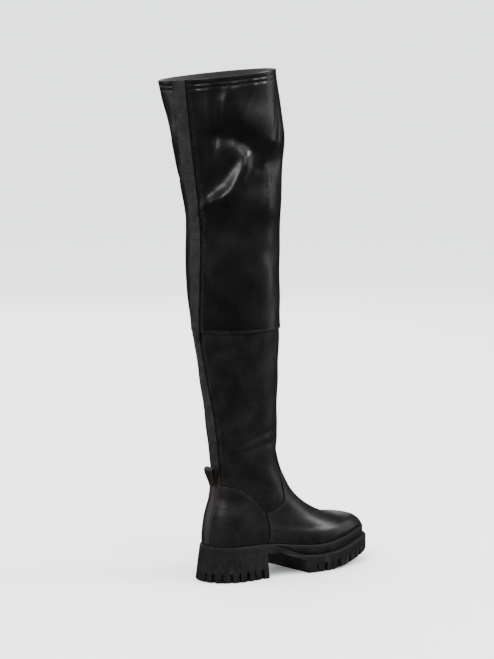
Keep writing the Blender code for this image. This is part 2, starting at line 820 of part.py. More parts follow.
def make_zip():
    tape_low = 2 * CLEARANCE
    tape_high = tape_low + OVERLAY * 0.6
    teeth_low = tape_high + CLEARANCE
    teeth_high = teeth_low + TEETH_RISE
    slider_height = ZIP_TOP - SLIDER_LENGTH
    metal = material("zip_metal", (0.32, 0.31, 0.30), 0.32, 1.0)
    pull_metal = material("zip_pull_metal", (0.32, 0.31, 0.30), 0.28, 1.0)
    zip_run("zip_tape", TAPE_WIDTH, tape_low, tape_high, ZIP_TOP, material("zip_tape", (0.015,) * 3, 0.8))
    zip_run(
        "zip_teeth",
        TEETH_WIDTH,
        teeth_low,
        teeth_high,
        slider_height - SLIDER_LENGTH / 2 - CLEARANCE,
        material("zip_teeth", (0.30, 0.29, 0.28), 0.4, 1.0),
    )
    here, out, up, across = zip_frame(slider_height)
    face = teeth_high + SLIDER_PLATE
    plate = ((-0.5, -0.30), (-0.30, -0.5), (0.30, -0.5), (0.5, -0.30), (0.5, 0.32), (0.28, 0.5), (-0.28, 0.5), (-0.5, 0.32))
    outline = [(a * SLIDER_WIDTH, b * SLIDER_LENGTH) for a, b in plate]
    slider = solid_from_outline(
        "zip_slider", here, (across, up, out), outline, (teeth_low + CLEARANCE, face), metal
    )
    half = BRIDGE_LENGTH / 2
    inside = half - BRIDGE_BAR
    sunk = face - SLIDER_PLATE
    bridge = [
        (-half, sunk),
        (-half, face + BRIDGE_HEIGHT),
        (half, face + BRIDGE_HEIGHT),
        (half, sunk),
        (inside, sunk),
        (inside, face + BRIDGE_HEIGHT - BRIDGE_BAR),
        (-inside, face + BRIDGE_HEIGHT - BRIDGE_BAR),
        (-inside, sunk),
    ]
    arch = solid_from_outline("bridge_joiner", here, (up, out, across), bridge, (-BRIDGE_BAR, BRIDGE_BAR))
    cut(slider, arch, "UNION")
    pivot = here + out * (face + PULL_THICKNESS) + up * PULL_THICKNESS * 0.7
    half = PULL_WIDTH / 2
    bar = PULL_THICKNESS / 2
    shoulder = -PULL_LENGTH * 0.62
    pull = solid_from_outline(
        "zip_pull",
        pivot,
        (across, up, out),
        [(-half, bar), (half, bar), (half, shoulder), (half / 2, -PULL_LENGTH), (-half / 2, -PULL_LENGTH), (-half, shoulder)],
        (-bar, bar),
        pull_metal,
    )
    window = BRIDGE_BAR + 2 * CLEARANCE
    hole = solid_from_outline(
        "pull_window_cutter",
        pivot,
        (across, up, out),
        [(-window, -bar), (window, -bar), (window, -PULL_WINDOW), (-window, -PULL_WINDOW)],
        (-PULL_THICKNESS * 2, PULL_THICKNESS * 2),
    )
    cut(pull, hole)


def main():
    for old in list(bpy.data.objects):
        bpy.data.objects.remove(old)
    make_sole()
    make_insole()
    make_upper()
    make_thigh()
    make_counter()
    make_vamp()
    make_back_strip()
    make_pull_loop()
    make_zip()


main()
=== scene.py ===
import math

import bmesh
import bpy
import numpy as np
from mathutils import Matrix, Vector


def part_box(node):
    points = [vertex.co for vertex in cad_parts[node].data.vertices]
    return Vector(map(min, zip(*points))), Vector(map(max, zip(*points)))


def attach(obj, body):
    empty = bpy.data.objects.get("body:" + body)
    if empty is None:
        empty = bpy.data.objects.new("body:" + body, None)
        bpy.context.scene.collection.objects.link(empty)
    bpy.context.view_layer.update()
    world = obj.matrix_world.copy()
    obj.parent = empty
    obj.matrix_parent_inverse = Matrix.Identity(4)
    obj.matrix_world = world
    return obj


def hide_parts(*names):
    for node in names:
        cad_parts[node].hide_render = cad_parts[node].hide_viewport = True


bl_info = {
    "name": "Thigh high boot",
    "version": (1, 0, 0),
    "blender": (4, 5, 0),
    "location": "3D View > Sidebar > Boot",
    "description": "Dresses the boot's solids with leather, elastic, zip, stitching and rubber.",
    "category": "Add Mesh",
}

# The boot stands with its toe to -Y, its outer side to -X and the zip on its inner side, +X.
# A place on its skin is (turn, level). Turn: 0 inner side, a quarter back, half outer side, three
# quarters front. Level: 0 at the sole, one more for each row of the section tables.

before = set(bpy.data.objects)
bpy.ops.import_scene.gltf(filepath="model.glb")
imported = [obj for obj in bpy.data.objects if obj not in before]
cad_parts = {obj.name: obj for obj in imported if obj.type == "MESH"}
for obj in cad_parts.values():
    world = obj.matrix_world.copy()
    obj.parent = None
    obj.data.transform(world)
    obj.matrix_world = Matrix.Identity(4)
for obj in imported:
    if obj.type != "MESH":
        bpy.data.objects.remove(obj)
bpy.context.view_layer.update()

# Foot and sole, in metres
FOOT_LENGTH = 0.266
BALL_WIDTH = 0.0975
TOE_SWING = 0.004
HEEL_HEIGHT = 0.0485
BALL_HEIGHT = 0.0373
TOE_HEIGHT = 0.0500
TOE_SPRING = 0.0160
HEEL_TREAD = 0.083
SOLE_MARGIN = 0.0038
HEEL_FLARE = 0.0058
BUMPER = 0.0052
BAND_THICKNESS = 0.0128
ARCH_HEIGHT = 0.033
LUG_HEIGHT = 0.0125
LUG_DEPTH = 0.0100
LUG_PITCH = 0.0126
NARROW_SLOT = 0.0028
WIDE_SLOT = 0.0056
TREAD_EDGE = 0.0015

# Leg, in metres
INSTEP_RISE = 0.107
ANKLE_DEPTH = 0.1015
ANKLE_WIDTH = 0.0730
ANKLE_FORWARD = 0.0316
KNEE_HEIGHT = 0.3520
KNEE_DEPTH = 0.1275
KNEE_WIDTH = 0.1020
KNEE_FORWARD = 0.0172
BOOT_HEIGHT = 0.6900
TOP_DEPTH = 0.1540
TOP_WIDTH = 0.1150
TOP_FORWARD = -0.0065
TOP_ASIDE = 0.0100
TOP_TWIST = math.radians(-38.0)
TOP_TILT = 0.0150

# Walls, overlays and trims, in metres
CLEARANCE = 0.0003
UPPER_WALL = 0.0020
THIGH_WALL = 0.0016
THIGH_LAP = 0.0120
OVERLAY = 0.0013
STRIP_WIDTH = 0.0172
STRIP_RISE = 0.0010
COUNTER_HEIGHT = 0.1288
LOOP_WIDTH = 0.0170
LOOP_HEIGHT = 0.0270
LOOP_LEATHER = 0.0016
LOOP_GAP = 0.0058
ZIP_TURN = -0.022
ZIP_BOTTOM = 0.1080
ZIP_TOP = 0.2700
TAPE_WIDTH = 0.0160
TEETH_WIDTH = 0.0056
TEETH_RISE = 0.0016
SLIDER_LENGTH = 0.0105

# Feather line: share of the foot from heel to toe, fullness on the outer and the inner side
OUTLINE = (
    (0.00, 0.660, 0.660),
    (0.10, 0.530, 0.530),
    (0.25, 0.395, 0.380),
    (0.45, 0.425, 0.345),
    (0.67, 0.545, 0.495),
    (0.85, 0.580, 0.580),
    (1.00, 0.700, 0.690),
)
# Rim of the sole: share of the foot, share of the drop to the ball, share of the rise to the toe
RIM = (
    (0.00, 0.00, 0.00),
    (0.31, 0.26, 0.00),
    (0.46, 0.74, 0.00),
    (0.60, 1.00, 0.00),
    (0.79, 1.00, 0.37),
    (0.88, 1.00, 0.72),
    (1.00, 1.00, 1.00),
)
# Tread: share of the foot, share of the toe spring
SPRING = ((0.00, 0.00), (0.62, 0.00), (0.79, 0.30), (0.90, 0.66), (1.00, 1.00))
FOOT_SECTIONS = (
    # front, back, front rise, back rise, plump, last, point, side
    (1.000, 0.000, 0.000, 0.000, 1.000, 1.00, 1.00, 1.00),
    (0.992, 0.002, 0.036, 0.085, 1.030, 1.00, 1.00, 1.00),
    (0.953, 0.005, 0.112, 0.180, 1.020, 1.00, 1.00, 1.00),
    (0.900, 0.010, 0.150, 0.285, 0.975, 1.00, 1.05, 1.00),
    (0.828, 0.018, 0.206, 0.390, 0.950, 0.92, 1.30, 0.98),
    (0.757, 0.029, 0.264, 0.490, 0.930, 0.75, 1.55, 0.98),
    (0.687, 0.040, 0.338, 0.585, 0.920, 0.55, 1.55, 0.98),
    (0.616, 0.046, 0.430, 0.680, 0.920, 0.36, 1.40, 0.98),
    (0.549, 0.052, 0.545, 0.780, 0.920, 0.20, 1.20, 0.98),
    (0.494, 0.056, 0.700, 0.880, 0.920, 0.08, 1.08, 0.99),
)
LEG_SECTIONS = (
    # height, ankle, knee, top, lean
    (0.00, 1.00, 0.00, 0.00, 0.00),
    (0.16, 1.02, 0.01, 0.00, 0.00),
    (0.36, 0.82, 0.20, 0.00, 0.00),
    (0.60, 0.48, 0.53, 0.00, 0.00),
    (0.82, 0.15, 0.85, 0.00, 0.00),
    (1.00, 0.00, 1.00, 0.00, 0.00),
    (1.20, 0.00, 0.92, 0.09, 0.14),
    (1.44, 0.00, 0.82, 0.17, 0.13),
    (1.60, 0.00, 0.58, 0.41, 0.26),
    (1.80, 0.00, 0.24, 0.75, 0.53),
    (1.92, 0.00, 0.09, 0.90, 0.80),
    (2.00, 0.00, 0.00, 1.00, 1.00),
)
# Edges of the overlays in side view: share of the foot towards the toe, share of the counter's height
COUNTER_EDGE = (
    (-0.250, 1.000),
    (-0.085, 1.000),
    (-0.035, 1.000),
    (0.010, 0.972),
    (0.050, 0.915),
    (0.094, 0.840),
    (0.130, 0.755),
    (0.150, 0.706),
)
# Seam where counter and vamp meet, and the gap along it in metres
SEAM_GAP = 0.0005
SIDE_SEAM = ((0.158, 0.680), (0.170, 0.600), (0.177, 0.500), (0.173, 0.380), (0.165, 0.100))
VAMP_EDGE = (
    (0.200, 0.714),
    (0.252, 0.757),
    (0.273, 0.795),
    (0.281, 0.850),
    (0.275, 0.960),
    (0.279, 1.100),
    (0.285, 1.220),
    (0.292, 1.290),
    (0.308, 1.335),
    (0.500, 1.335),
)

# Course of the back strip: levels over the ankle's, turn of its middle, share of the strip's width
STRIP_COURSE = (
    (0, 0.252, 1.00),
    (1, 0.256, 1.00),
    (2, 0.252, 1.00),
    (3, 0.238, 1.00),
    (4, 0.230, 1.00),
    (5, 0.236, 1.03),
    (6, 0.260, 1.10),
    (7, 0.258, 1.18),
    (8, 0.255, 1.25),
    (9, 0.262, 1.27),
    (10, 0.273, 1.25),
    (11, 0.282, 1.20),
)

ANKLE_HEIGHT = HEEL_HEIGHT + INSTEP_RISE
SOLE_REAR = HEEL_TREAD / 2
HEEL_BACK = SOLE_REAR - HEEL_FLARE - SOLE_MARGIN
ARCH_REAR = -SOLE_REAR
ARCH_FRONT = -0.1050
BAND_REAR = -0.0560
FEATHER = 0.0
ANKLE = float(len(FOOT_SECTIONS))
TOP = ANKLE + len(LEG_SECTIONS) - 1
KNEE = ANKLE + [row[0] for row in LEG_SECTIONS].index(1.0)


def through(rows, place):
    """Smooth curves through a table's rows, whose first column is the place, at many places."""
    table = np.array(rows, dtype=float)
    places, values = table[:, 0], table[:, 1:]
    before = np.maximum(np.arange(len(rows)) - 1, 0)
    after = np.minimum(np.arange(len(rows)) + 1, len(rows) - 1)
    slopes = (values[after] - values[before]) / (places[after] - places[before])[:, None]
    place = np.clip(np.asarray(place, dtype=float), places[0], places[-1])
    low = np.clip(np.searchsorted(places, place, side="right") - 1, 0, len(rows) - 2)
    span = (places[low + 1] - places[low])[..., None]
    u = (place - places[low])[..., None] / span
    return (
        (2 * u**3 - 3 * u**2 + 1) * values[low]
        + (u**3 - 2 * u**2 + u) * slopes[low] * span
        + (3 * u**2 - 2 * u**3) * values[low + 1]
        + (u**3 - u**2) * slopes[low + 1] * span
    )


def foot_share(y):
    """Share of the foot, from heel to toe, at a distance along it."""
    return (HEEL_BACK - y) / FOOT_LENGTH


def rim_height(y):
    """Top of the sole's side at a distance along the foot."""
    shares = through(RIM, foot_share(y))
    drop, rise = HEEL_HEIGHT - BALL_HEIGHT, TOE_HEIGHT - BALL_HEIGHT
    return HEEL_HEIGHT - shares[..., 0] * drop + shares[..., 1] * rise


def tread_height(y):
    """Height of the tread over the floor at a distance along the foot."""
    return TOE_SPRING * np.maximum(through(SPRING, foot_share(y))[..., 0], 0.0)


def section_rows():
    """Level, front, back, front height, back height, plump, last, point, half width, aside, twist."""
    rows = []
    for front, back, front_rise, back_rise, plump, last, point, side in FOOT_SECTIONS:
        rows.append((
            HEEL_BACK - front * FOOT_LENGTH,
            HEEL_BACK - back * FOOT_LENGTH,
            HEEL_HEIGHT + front_rise * INSTEP_RISE,
            HEEL_HEIGHT + back_rise * INSTEP_RISE,
            plump * BALL_WIDTH, last, point, side * ANKLE_WIDTH / 2, 0.0, 0.0,
        ))
    for height, ankle, knee, top, lean in LEG_SECTIONS:
        over = max(height - 1.0, 0.0)
        climb = ANKLE_HEIGHT + min(height, 1.0) * (KNEE_HEIGHT - ANKLE_HEIGHT)
        climb += over * (BOOT_HEIGHT - TOP_TILT / 2 - KNEE_HEIGHT)
        half_depth = (ankle * ANKLE_DEPTH + knee * KNEE_DEPTH + top * TOP_DEPTH) / 2
        forward = ANKLE_FORWARD + min(height, 1.0) * (KNEE_FORWARD - ANKLE_FORWARD)
        forward += lean * (TOP_FORWARD - KNEE_FORWARD)
        tilt = over * TOP_TILT / 2
        half_width = (ankle * ANKLE_WIDTH + knee * KNEE_WIDTH + top * TOP_WIDTH) / 2
        rows.append((
            -forward - half_depth, -forward + half_depth, climb + tilt, climb - tilt,
            BALL_WIDTH, 0.0, 1.0, half_width, lean * TOP_ASIDE, top * TOP_TWIST,
        ))
    return tuple((level,) + row for level, row in enumerate(rows))


SECTION_ROWS = section_rows()


def skin(turn, level):
    """Points on the smooth outer skin."""
    turn, level = np.broadcast_arrays(np.asarray(turn, float), np.asarray(level, float))
    front, back, front_z, back_z, plump, last, point, half_width, aside, twist = np.moveaxis(
        through(SECTION_ROWS, level), -1, 0
    )
    angle = turn * math.tau - twist
    along, across = np.sin(angle), np.cos(angle)
    half, middle = (back - front) / 2, (back + front) / 2
    y = middle + half * along
    share = np.clip(foot_share(y), 0.0, 1.0)
    outline = through(OUTLINE, share)
    fullness = np.where(across < 0, outline[..., 0], outline[..., 1])
    sharpness = 1.0 + (point - 1.0) * np.maximum(-along, 0.0)
    reach = last * plump * fullness + (1.0 - last) * half_width
    x = np.copysign(reach * np.abs(across) ** sharpness, across)
    dx = x * np.cos(twist) - half * along * np.sin(twist)
    dy = x * np.sin(twist) + half * along * np.cos(twist)
    climb = ((1.0 + along) / 2) ** (1.0 - 0.4 * last)
    height = front_z + climb * (back_z - front_z)
    swing = last * TOE_SWING * np.maximum(share - 0.5, 0.0) * 2
    z = height + last * (rim_height(y) - HEEL_HEIGHT)
    return np.stack((aside + dx + swing, middle + dy, z), axis=-1)


def normals(turn, level):
    """Outward normals of the smooth skin."""
    step = 0.004
    level = np.asarray(level, float)
    around = skin(turn + step, level) - skin(turn - step, level)
    low = np.maximum(level - 10 * step, FEATHER)
    high = np.minimum(level + 10 * step, TOP)
    up = skin(turn, high) - skin(turn, low)
    out = np.cross(around, up)
    return out / np.linalg.norm(out, axis=-1, keepdims=True)


def level_of(turn, height):
    """Level at which the skin reaches a height."""
    low, high = FEATHER, TOP
    for _ in range(30):
        middle = (low + high) / 2
        if skin(turn, middle)[..., 2] < height:
            low = middle
        else:
            high = middle
    return (low + high) / 2


def metres_a_turn(turn, level):
    """Metres round the leg for one whole turn, at this place."""
    step = 0.01
    return np.linalg.norm(skin(turn + step, level) - skin(turn, level), axis=-1) / step


def metres_a_level(level):
    """Height of one level at this place of the leg."""
    reach = 0.1
    high = min(level + reach, TOP)
    rise = skin(0.5, high) - skin(0.5, level - reach)
    return float(np.linalg.norm(rise)) / (high - level + reach)


# Creases of the leather: depth over the skin (a trough is negative), width of its upper and its
# lower flank, in millimetres, then its path as (turn, height in millimetres).
FOLDS = (
    # long soft pleats that hang from the hem beside the back strip
    (2.4, 6.0, 6.0, ((0.368, 676), (0.354, 640), (0.345, 600), (0.332, 560), (0.315, 520))),
    (-2.6, 7.0, 6.5, ((0.386, 668), (0.374, 638), (0.364, 610), (0.350, 580))),
    (1.8, 6.0, 5.0, ((0.420, 664), (0.398, 650), (0.388, 632), (0.386, 614))),
    # deep curved trough of the back of the thigh
    (-7.0, 13.0, 11.0, (
        (0.370, 604), (0.425, 603), (0.462, 594), (0.482, 580),
        (0.478, 562), (0.455, 542), (0.420, 518), (0.390, 500),
    )),
    # wedge ridge inside it, sharp along its lower edge
    (10.0, 26.0, 9.0, ((0.476, 588), (0.440, 558), (0.405, 533), (0.362, 519), (0.300, 508))),
    (-2.6, 5.5, 11.0, ((0.306, 500), (0.350, 514), (0.380, 512), (0.404, 517))),
    # full upper corner on the outer side, hanging over the trough
    (8.0, 40.0, 14.0, ((0.380, 626), (0.440, 628), (0.490, 612), (0.530, 600), (0.570, 598))),
    (3.6, 34.0, 34.0, ((0.570, 600), (0.640, 592), (0.720, 590))),
    (-2.2, 9.0, 11.0, ((0.600, 568), (0.550, 564), (0.510, 562))),
    (6.5, 30.0, 28.0, ((0.465, 520), (0.510, 512), (0.550, 512), (0.600, 520))),
    (-2.0, 10.0, 16.0, ((0.330, 496), (0.380, 484), (0.430, 470))),
    # faint slanting pulls above the knee
    (-1.6, 14.0, 12.0, ((0.500, 456), (0.560, 440), (0.620, 420))),
    (1.5, 13.0, 12.0, ((0.400, 438), (0.450, 420), (0.500, 408))),
    (-0.9, 12.0, 14.0, ((0.330, 470), (0.380, 440), (0.420, 400))),
    (1.4, 12.0, 12.0, ((0.300, 420), (0.340, 396), (0.390, 378))),
    # inner side of the thigh: broad swell and slanting pleats
    (3.2, 26.0, 24.0, ((0.120, 640), (0.060, 622), (-0.010, 610))),
    (2.6, 9.0, 7.0, ((0.200, 612), (0.165, 575), (0.120, 540), (0.070, 512))),
    (-3.0, 8.0, 10.0, ((0.210, 596), (0.178, 560), (0.138, 524), (0.090, 494))),
    (2.2, 8.0, 9.0, ((0.215, 570), (0.190, 540), (0.155, 506))),
    (-2.0, 16.0, 18.0, ((0.080, 590), (0.030, 566), (-0.020, 548))),
    (1.8, 18.0, 16.0, ((-0.060, 640), (-0.100, 600), (-0.120, 560))),
    (-1.8, 14.0, 14.0, ((-0.080, 560), (-0.130, 520), (-0.170, 470))),
    # ankle
    (-1.2, 4.5, 6.0, ((0.330, 167), (0.380, 172), (0.440, 177), (0.520, 185), (0.580, 184))),
    (-1.0, 4.5, 6.0, ((0.370, 181), (0.430, 187), (0.510, 198), (0.570, 202))),
    (0.9, 7.0, 5.0, ((0.340, 176), (0.400, 181), (0.460, 186), (0.530, 193))),
    (-1.0, 5.0, 6.0, ((0.120, 178), (0.060, 186), (0.000, 190), (-0.080, 186))),
    (-0.8, 5.0, 5.0, ((0.080, 196), (0.000, 204), (-0.080, 204))),
    (-1.2, 6.0, 7.0, ((0.660, 176), (0.750, 170), (0.840, 176))),
    (0.9, 6.0, 6.0, ((0.670, 190), (0.750, 184), (0.830, 190))),
)
# Girth of the leg on which the creases' turns are laid out, in millimetres, and its growth upwards
CREASE_GIRTH = 340
CREASE_GROWTH = 0.20
# How a crease dies away at the ends of its path
CREASE_ENDS = (0.07, 0.86, 0.7)
# Height in millimetres where the leather's broad unevenness starts, and over which it grows
ANKLE_REACH = (120, 80)

# Strap over the heel: level, turn of its middle and half its width in turns
HEEL_STAY = (
    (0.35, 0.251, 0.014),
    (2.00, 0.244, 0.022),
    (3.70, 0.248, 0.026),
    (5.50, 0.250, 0.036),
    (7.85, 0.252, 0.040),
)
STAY_LEATHER = 0.0009
# Width of the dark painted shade line along seams and just over the sole's rim, groove between outsole and
# band, and how far the band's middle swells
SEAM_SHADE = 0.0010
BAND_GROOVE = 0.0009
BAND_SWELL = 0.0004
# Stitched hem: distances of its two seams from the top edge, how deep and how wide they draw in
HEM_SEAMS = (0.0070, 0.0130)
HEM_GROOVE = 0.0005
HEM_GROOVE_WIDTH = 0.0014
# Rows of the thigh panel's fine grid, from its top edge down and from its lower edge up
HEM_ROWS = (0.0002, 0.0006, 0.0012, 0.0020, 0.0032, 0.0062, 0.0070, 0.0078, 0.0122, 0.0130, 0.0138)
KNEE_ROWS = (0.0002, 0.0006, 0.0012, 0.0020)
# Rounding of cut edges: overlays and thigh panel, back strip, heel strap, zip tape
CUT_EDGE = 0.0014
STRIP_EDGE = 0.0012
STAY_EDGE = 0.0010
TAPE_EDGE = 0.0006
# Rows of stitches: distances from an overlay's edge, up from the thigh panel's edge, out from the
# zip's tape, and along the back strip as shares of half its width
OVERLAY_SEAMS = (0.0022, 0.0046)
KNEE_SEAMS = (0.0022, 0.0048)
ZIP_SEAM = 0.0024
STRIP_SEAMS = (-1.22, 1.22, 1.50)
THREAD_SEAT = 0.0001
# Points round the leg and round the sole
ROUND = 256

# The photograph's camera, from the boot's outline in it, and the room
PHOTO_WIDTH = 494
PHOTO_HEIGHT = 659
CAMERA_TURN = 230.4
CAMERA_TILT = 8.45
CAMERA_DISTANCE = 4.32
PIXELS_A_METRE = 739.7
AIM = (0.0, -0.03, 0.3)
AIM_PIXEL = (242.7, 357.1)
FLOOR_RADIUS = 30.0
PAPER = "#f1f3f2"


def relief(turn, point):
    """How far the creases move the skin out, in metres."""
    look = bpy.context.scene.boot_look
    height = point[..., 2] * 1000
    total = np.zeros(height.shape)
    for depth, upper, lower, path in FOLDS:
        total += fold(turn, height, depth, upper, lower, path)
    # waves whose rates share no period, so that nothing repeats
    slack = (
        np.sin(turn * 31.4 + height * 0.071) * np.sin(turn * 18.9 - height * 0.043 + 1.3)
        + 0.6 * np.sin(turn * 50.3 - height * 0.097 + 0.4)
    )
    leg = np.clip((height - ANKLE_REACH[0]) / ANKLE_REACH[1], 0, 1)
    return (total + slack * look.slack * 1000 * leg) / 1000


def fold(turn, height, depth, upper, lower, path):
    """Height of one crease, in millimetres, over a (turn, height) grid."""
    girth = CREASE_GIRTH + np.clip(height - 150, 0, 540) * CREASE_GROWTH
    end, run, ease = CREASE_ENDS
    spots = np.array(path, dtype=float)
    best = np.full(height.shape, 1e9)
    value = np.zeros(height.shape)
    count = len(spots) - 1
    for index in range(count):
        (turn_a, height_a), (turn_b, height_b) = spots[index], spots[index + 1]
        ax = (turn - turn_a + 0.5) % 1.0 - 0.5
        bx = (turn_b - turn_a) * girth
        by = height_b - height_a
        px, py = ax * girth, height - height_a
        share = np.clip((px * bx + py * by) / (bx * bx + by * by), 0, 1)
        gap_x, gap_y = px - share * bx, py - share * by
        gap = np.hypot(gap_x, gap_y)
        above = (gap_x * -by + gap_y * bx) / np.maximum(gap * np.hypot(bx, by), 1e-9)
        width = lower + (upper - lower) * (0.5 + 0.5 * above)
        along = (index + share) / count
        ends = np.sin(np.clip(along * run + end, 0, 1) * math.pi) ** ease
        near = gap < best
        best = np.where(near, gap, best)
        value = np.where(near, depth * ends * np.exp(-((gap / width) ** 2)), value)
    return value


def surface(turn, level, offset):
    """Points at a distance over the creased skin."""
    turn, level = np.broadcast_arrays(np.asarray(turn, float), np.asarray(level, float))
    point = skin(turn, level)
    rise = relief(turn, point) + offset
    return point + normals(turn, level) * rise[..., None]


def even_levels(low, high, count):
    """Levels at even distances up the boot."""
    fine = np.linspace(low, high, 400)
    run = np.zeros(len(fine))
    for turn in (0.25, 0.5, 0.75):
        steps = np.linalg.norm(np.diff(skin(turn, fine), axis=0), axis=1)
        run[1:] += np.cumsum(steps)
    return np.interp(np.linspace(0, run[-1], count), run, fine)


def linear(colour):
    """sRGB hex to the linear colour that shaders take."""
    parts = [int(colour[index:index + 2], 16) / 255 for index in (1, 3, 5)]
    return tuple(part / 12.92 if part <= 0.04045 else ((part + 0.055) / 1.055) ** 2.4 for part in parts)


def add(tree, kind, inputs=None, **settings):
    """A node with its settings; each input is a value or another node's output."""
    made = tree.nodes.new(kind)
    for name, value in settings.items():
        setattr(made, name, value)
    for name, value in (inputs or {}).items():
        if isinstance(value, bpy.types.NodeSocket):
            tree.links.new(value, made.inputs[name])
        else:
            made.inputs[name].default_value = value
    return made


def placed(name, data):
    """An object in the scene, at the origin."""
    made = bpy.data.objects.new(name, data)
    bpy.context.scene.collection.objects.link(made)
    return made


def new_object(name, mesh):
    """A finished piece; every piece that is made here rides on the boot."""
    made = placed(name, mesh)
    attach(made, "boot")
    return made


def stand_for(made, node):
    """The piece takes the place of a solid, which is hidden."""
    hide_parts(node)


def mesh_of(name, bm):
    """Mesh of a closed shape with its faces turned outwards."""
    bmesh.ops.recalc_face_normals(bm, faces=bm.faces)
    mesh = bpy.data.meshes.new(name)
    bm.to_mesh(mesh)
    bm.free()
    return mesh


def loft(bm, rings):
    """Quads between closed rings of points."""
    for below, above in zip(rings, rings[1:]):
        for j in range(len(below)):
            k = (j + 1) % len(below)
            bm.faces.new((below[j], below[k], above[k], above[j]))


def closed_loft(bm, rings):
    """Quads between closed rings of points, and a face on the first and the last."""
    loft(bm, rings)
    bm.faces.new(rings[0])
    bm.faces.new(rings[-1])


def grid_faces(rows, columns, wrap, start=0, flip=False):
    """Quads between rows of points, joined round where wrap says so."""
    i, j = np.meshgrid(np.arange(rows - 1), np.arange(columns if wrap else columns - 1), indexing="ij")
    after = (j + 1) % columns
    here, above = i * columns, (i + 1) * columns
    quads = np.stack((here + j, here + after, above + after, above + j), axis=-1).reshape(-1, 4) + start
    return quads[:, ::-1] if flip else quads


def wall(name, outer, inner, wrap, finishes):
    """Closed wall between an outer and an inner grid; a second finish goes on its inner side."""
    rows, columns = outer.shape[:2]
    rows_in = inner.shape[0]
    start = rows * columns
    points = np.concatenate((outer.reshape(-1, 3), inner.reshape(-1, 3)))
    outside = grid_faces(rows, columns, wrap)
    inside = grid_faces(rows_in, columns, wrap, start, True)
    edges = []
    last, last_in = (rows - 1) * columns, start + (rows_in - 1) * columns
    for j in range(columns if wrap else columns - 1):
        k = (j + 1) % columns
        edges.append((start + j, start + k, k, j))
        edges.append((last + j, last + k, last_in + k, last_in + j))
    if not wrap:
        for i in range(rows - 1):
            edges.append((i * columns, (i + 1) * columns, start + (i + 1) * columns, start + i * columns))
            end, end_in = i * columns + columns - 1, start + i * columns + columns - 1
            edges.append((end + columns, end, end_in, end_in + columns))
    faces = np.concatenate((outside, inside, np.array(edges)))
    mesh = bpy.data.meshes.new(name)
    mesh.from_pydata(points.tolist(), [], faces.tolist())
    for finish in finishes:
        mesh.materials.append(finish)
    slots = np.zeros(len(faces), dtype=np.int32)
    if len(finishes) > 1:
        slots[len(outside):len(outside) + len(inside)] = 1
    mesh.polygons.foreach_set("material_index", slots)
    mesh.polygons.foreach_set("use_smooth", np.full(len(faces), True))
    mesh.update()
    return new_object(name, mesh)


def outward(made):
    """Turns all faces of a closed mesh outwards."""
    bm = bmesh.new()
    bm.from_mesh(made.data)
    bmesh.ops.recalc_face_normals(bm, faces=bm.faces)
    bm.to_mesh(made.data)
    bm.free()
    return made


def rolled(distance, radius):
    """Share of the thickness that is left at a distance from a rounded edge."""
    near = np.clip(distance / radius, 0, 1)
    return np.sqrt(np.maximum(1 - (1 - near) ** 2, 0))


def edge_curve(rows, shift=0.0):
    """Smooth side view points (y, z) of an overlay's edge."""
    spots = np.array(rows, dtype=float)
    places = np.concatenate(((0.0,), np.cumsum(np.hypot(*np.diff(spots, axis=0).T))))
    table = np.column_stack((places, spots))
    shares = through(table, np.linspace(0, places[-1], 6 * len(rows)))
    return np.column_stack((-shares[:, 0] * FOOT_LENGTH - shift, shares[:, 1] * COUNTER_HEIGHT))


def counter_outline():
    """Side view of the overlay round the heel."""
    back = np.array(((FOOT_LENGTH * 0.25, HEEL_HEIGHT * 0.5),))
    return np.concatenate((edge_curve(COUNTER_EDGE), edge_curve(SIDE_SEAM), back))


def vamp_outline():
    """Side view of the overlay over toe and instep."""
    toe = HEEL_BACK - FOOT_LENGTH - 0.02
    front = np.array(((toe, COUNTER_HEIGHT * VAMP_EDGE[-1][1]), (toe, 0.0)))
    return np.concatenate((edge_curve(SIDE_SEAM[::-1], SEAM_GAP), edge_curve(VAMP_EDGE), front))


def inside(outline, y, z):
    """Whether side view points lie in an outline."""
    found = np.zeros(y.shape, dtype=bool)
    for (y0, z0), (y1, z1) in zip(outline, np.roll(outline, -1, axis=0)):
        if z0 == z1:
            continue
        spans = (z0 > z) != (z1 > z)
        found ^= spans & (y < (y1 - y0) * (z - z0) / (z1 - z0) + y0)
    return found


def edge_distance(outline, y, z):
    """Distance of side view points from an outline."""
    best = np.full(y.shape, 1e9)
    for (y0, z0), (y1, z1) in zip(outline, np.roll(outline, -1, axis=0)):
        dy, dz = y1 - y0, z1 - z0
        share = np.clip(((y - y0) * dy + (z - z0) * dz) / max(dy * dy + dz * dz, 1e-12), 0, 1)
        best = np.minimum(best, np.hypot(y - y0 - share * dy, z - z0 - share * dz))
    return best


def margin_line(turns, outline, margin, start, stop):
    """Lowest and highest level of each turn that lies in an outline by a margin."""
    def holds(turn, level):
        point = skin(turn, level)
        near = edge_distance(outline, point[..., 1], point[..., 2])
        return inside(outline, point[..., 1], point[..., 2]) & (near >= margin)

    levels = np.linspace(start, stop, 260)
    grid = holds(turns[:, None], levels[None, :])
    some = grid.any(axis=1)
    first, last = grid.argmax(axis=1), grid.shape[1] - 1 - grid[:, ::-1].argmax(axis=1)
    ends = []
    for index, side in ((first, -1), (last, 1)):
        held = levels[index]
        free = levels[np.clip(index + side, 0, len(levels) - 1)]
        for _ in range(12):
            middle = (held + free) / 2
            good = holds(turns, middle)
            held, free = np.where(good, middle, held), np.where(good, free, middle)
        ends.append(held)
    return some, ends[0], ends[1]


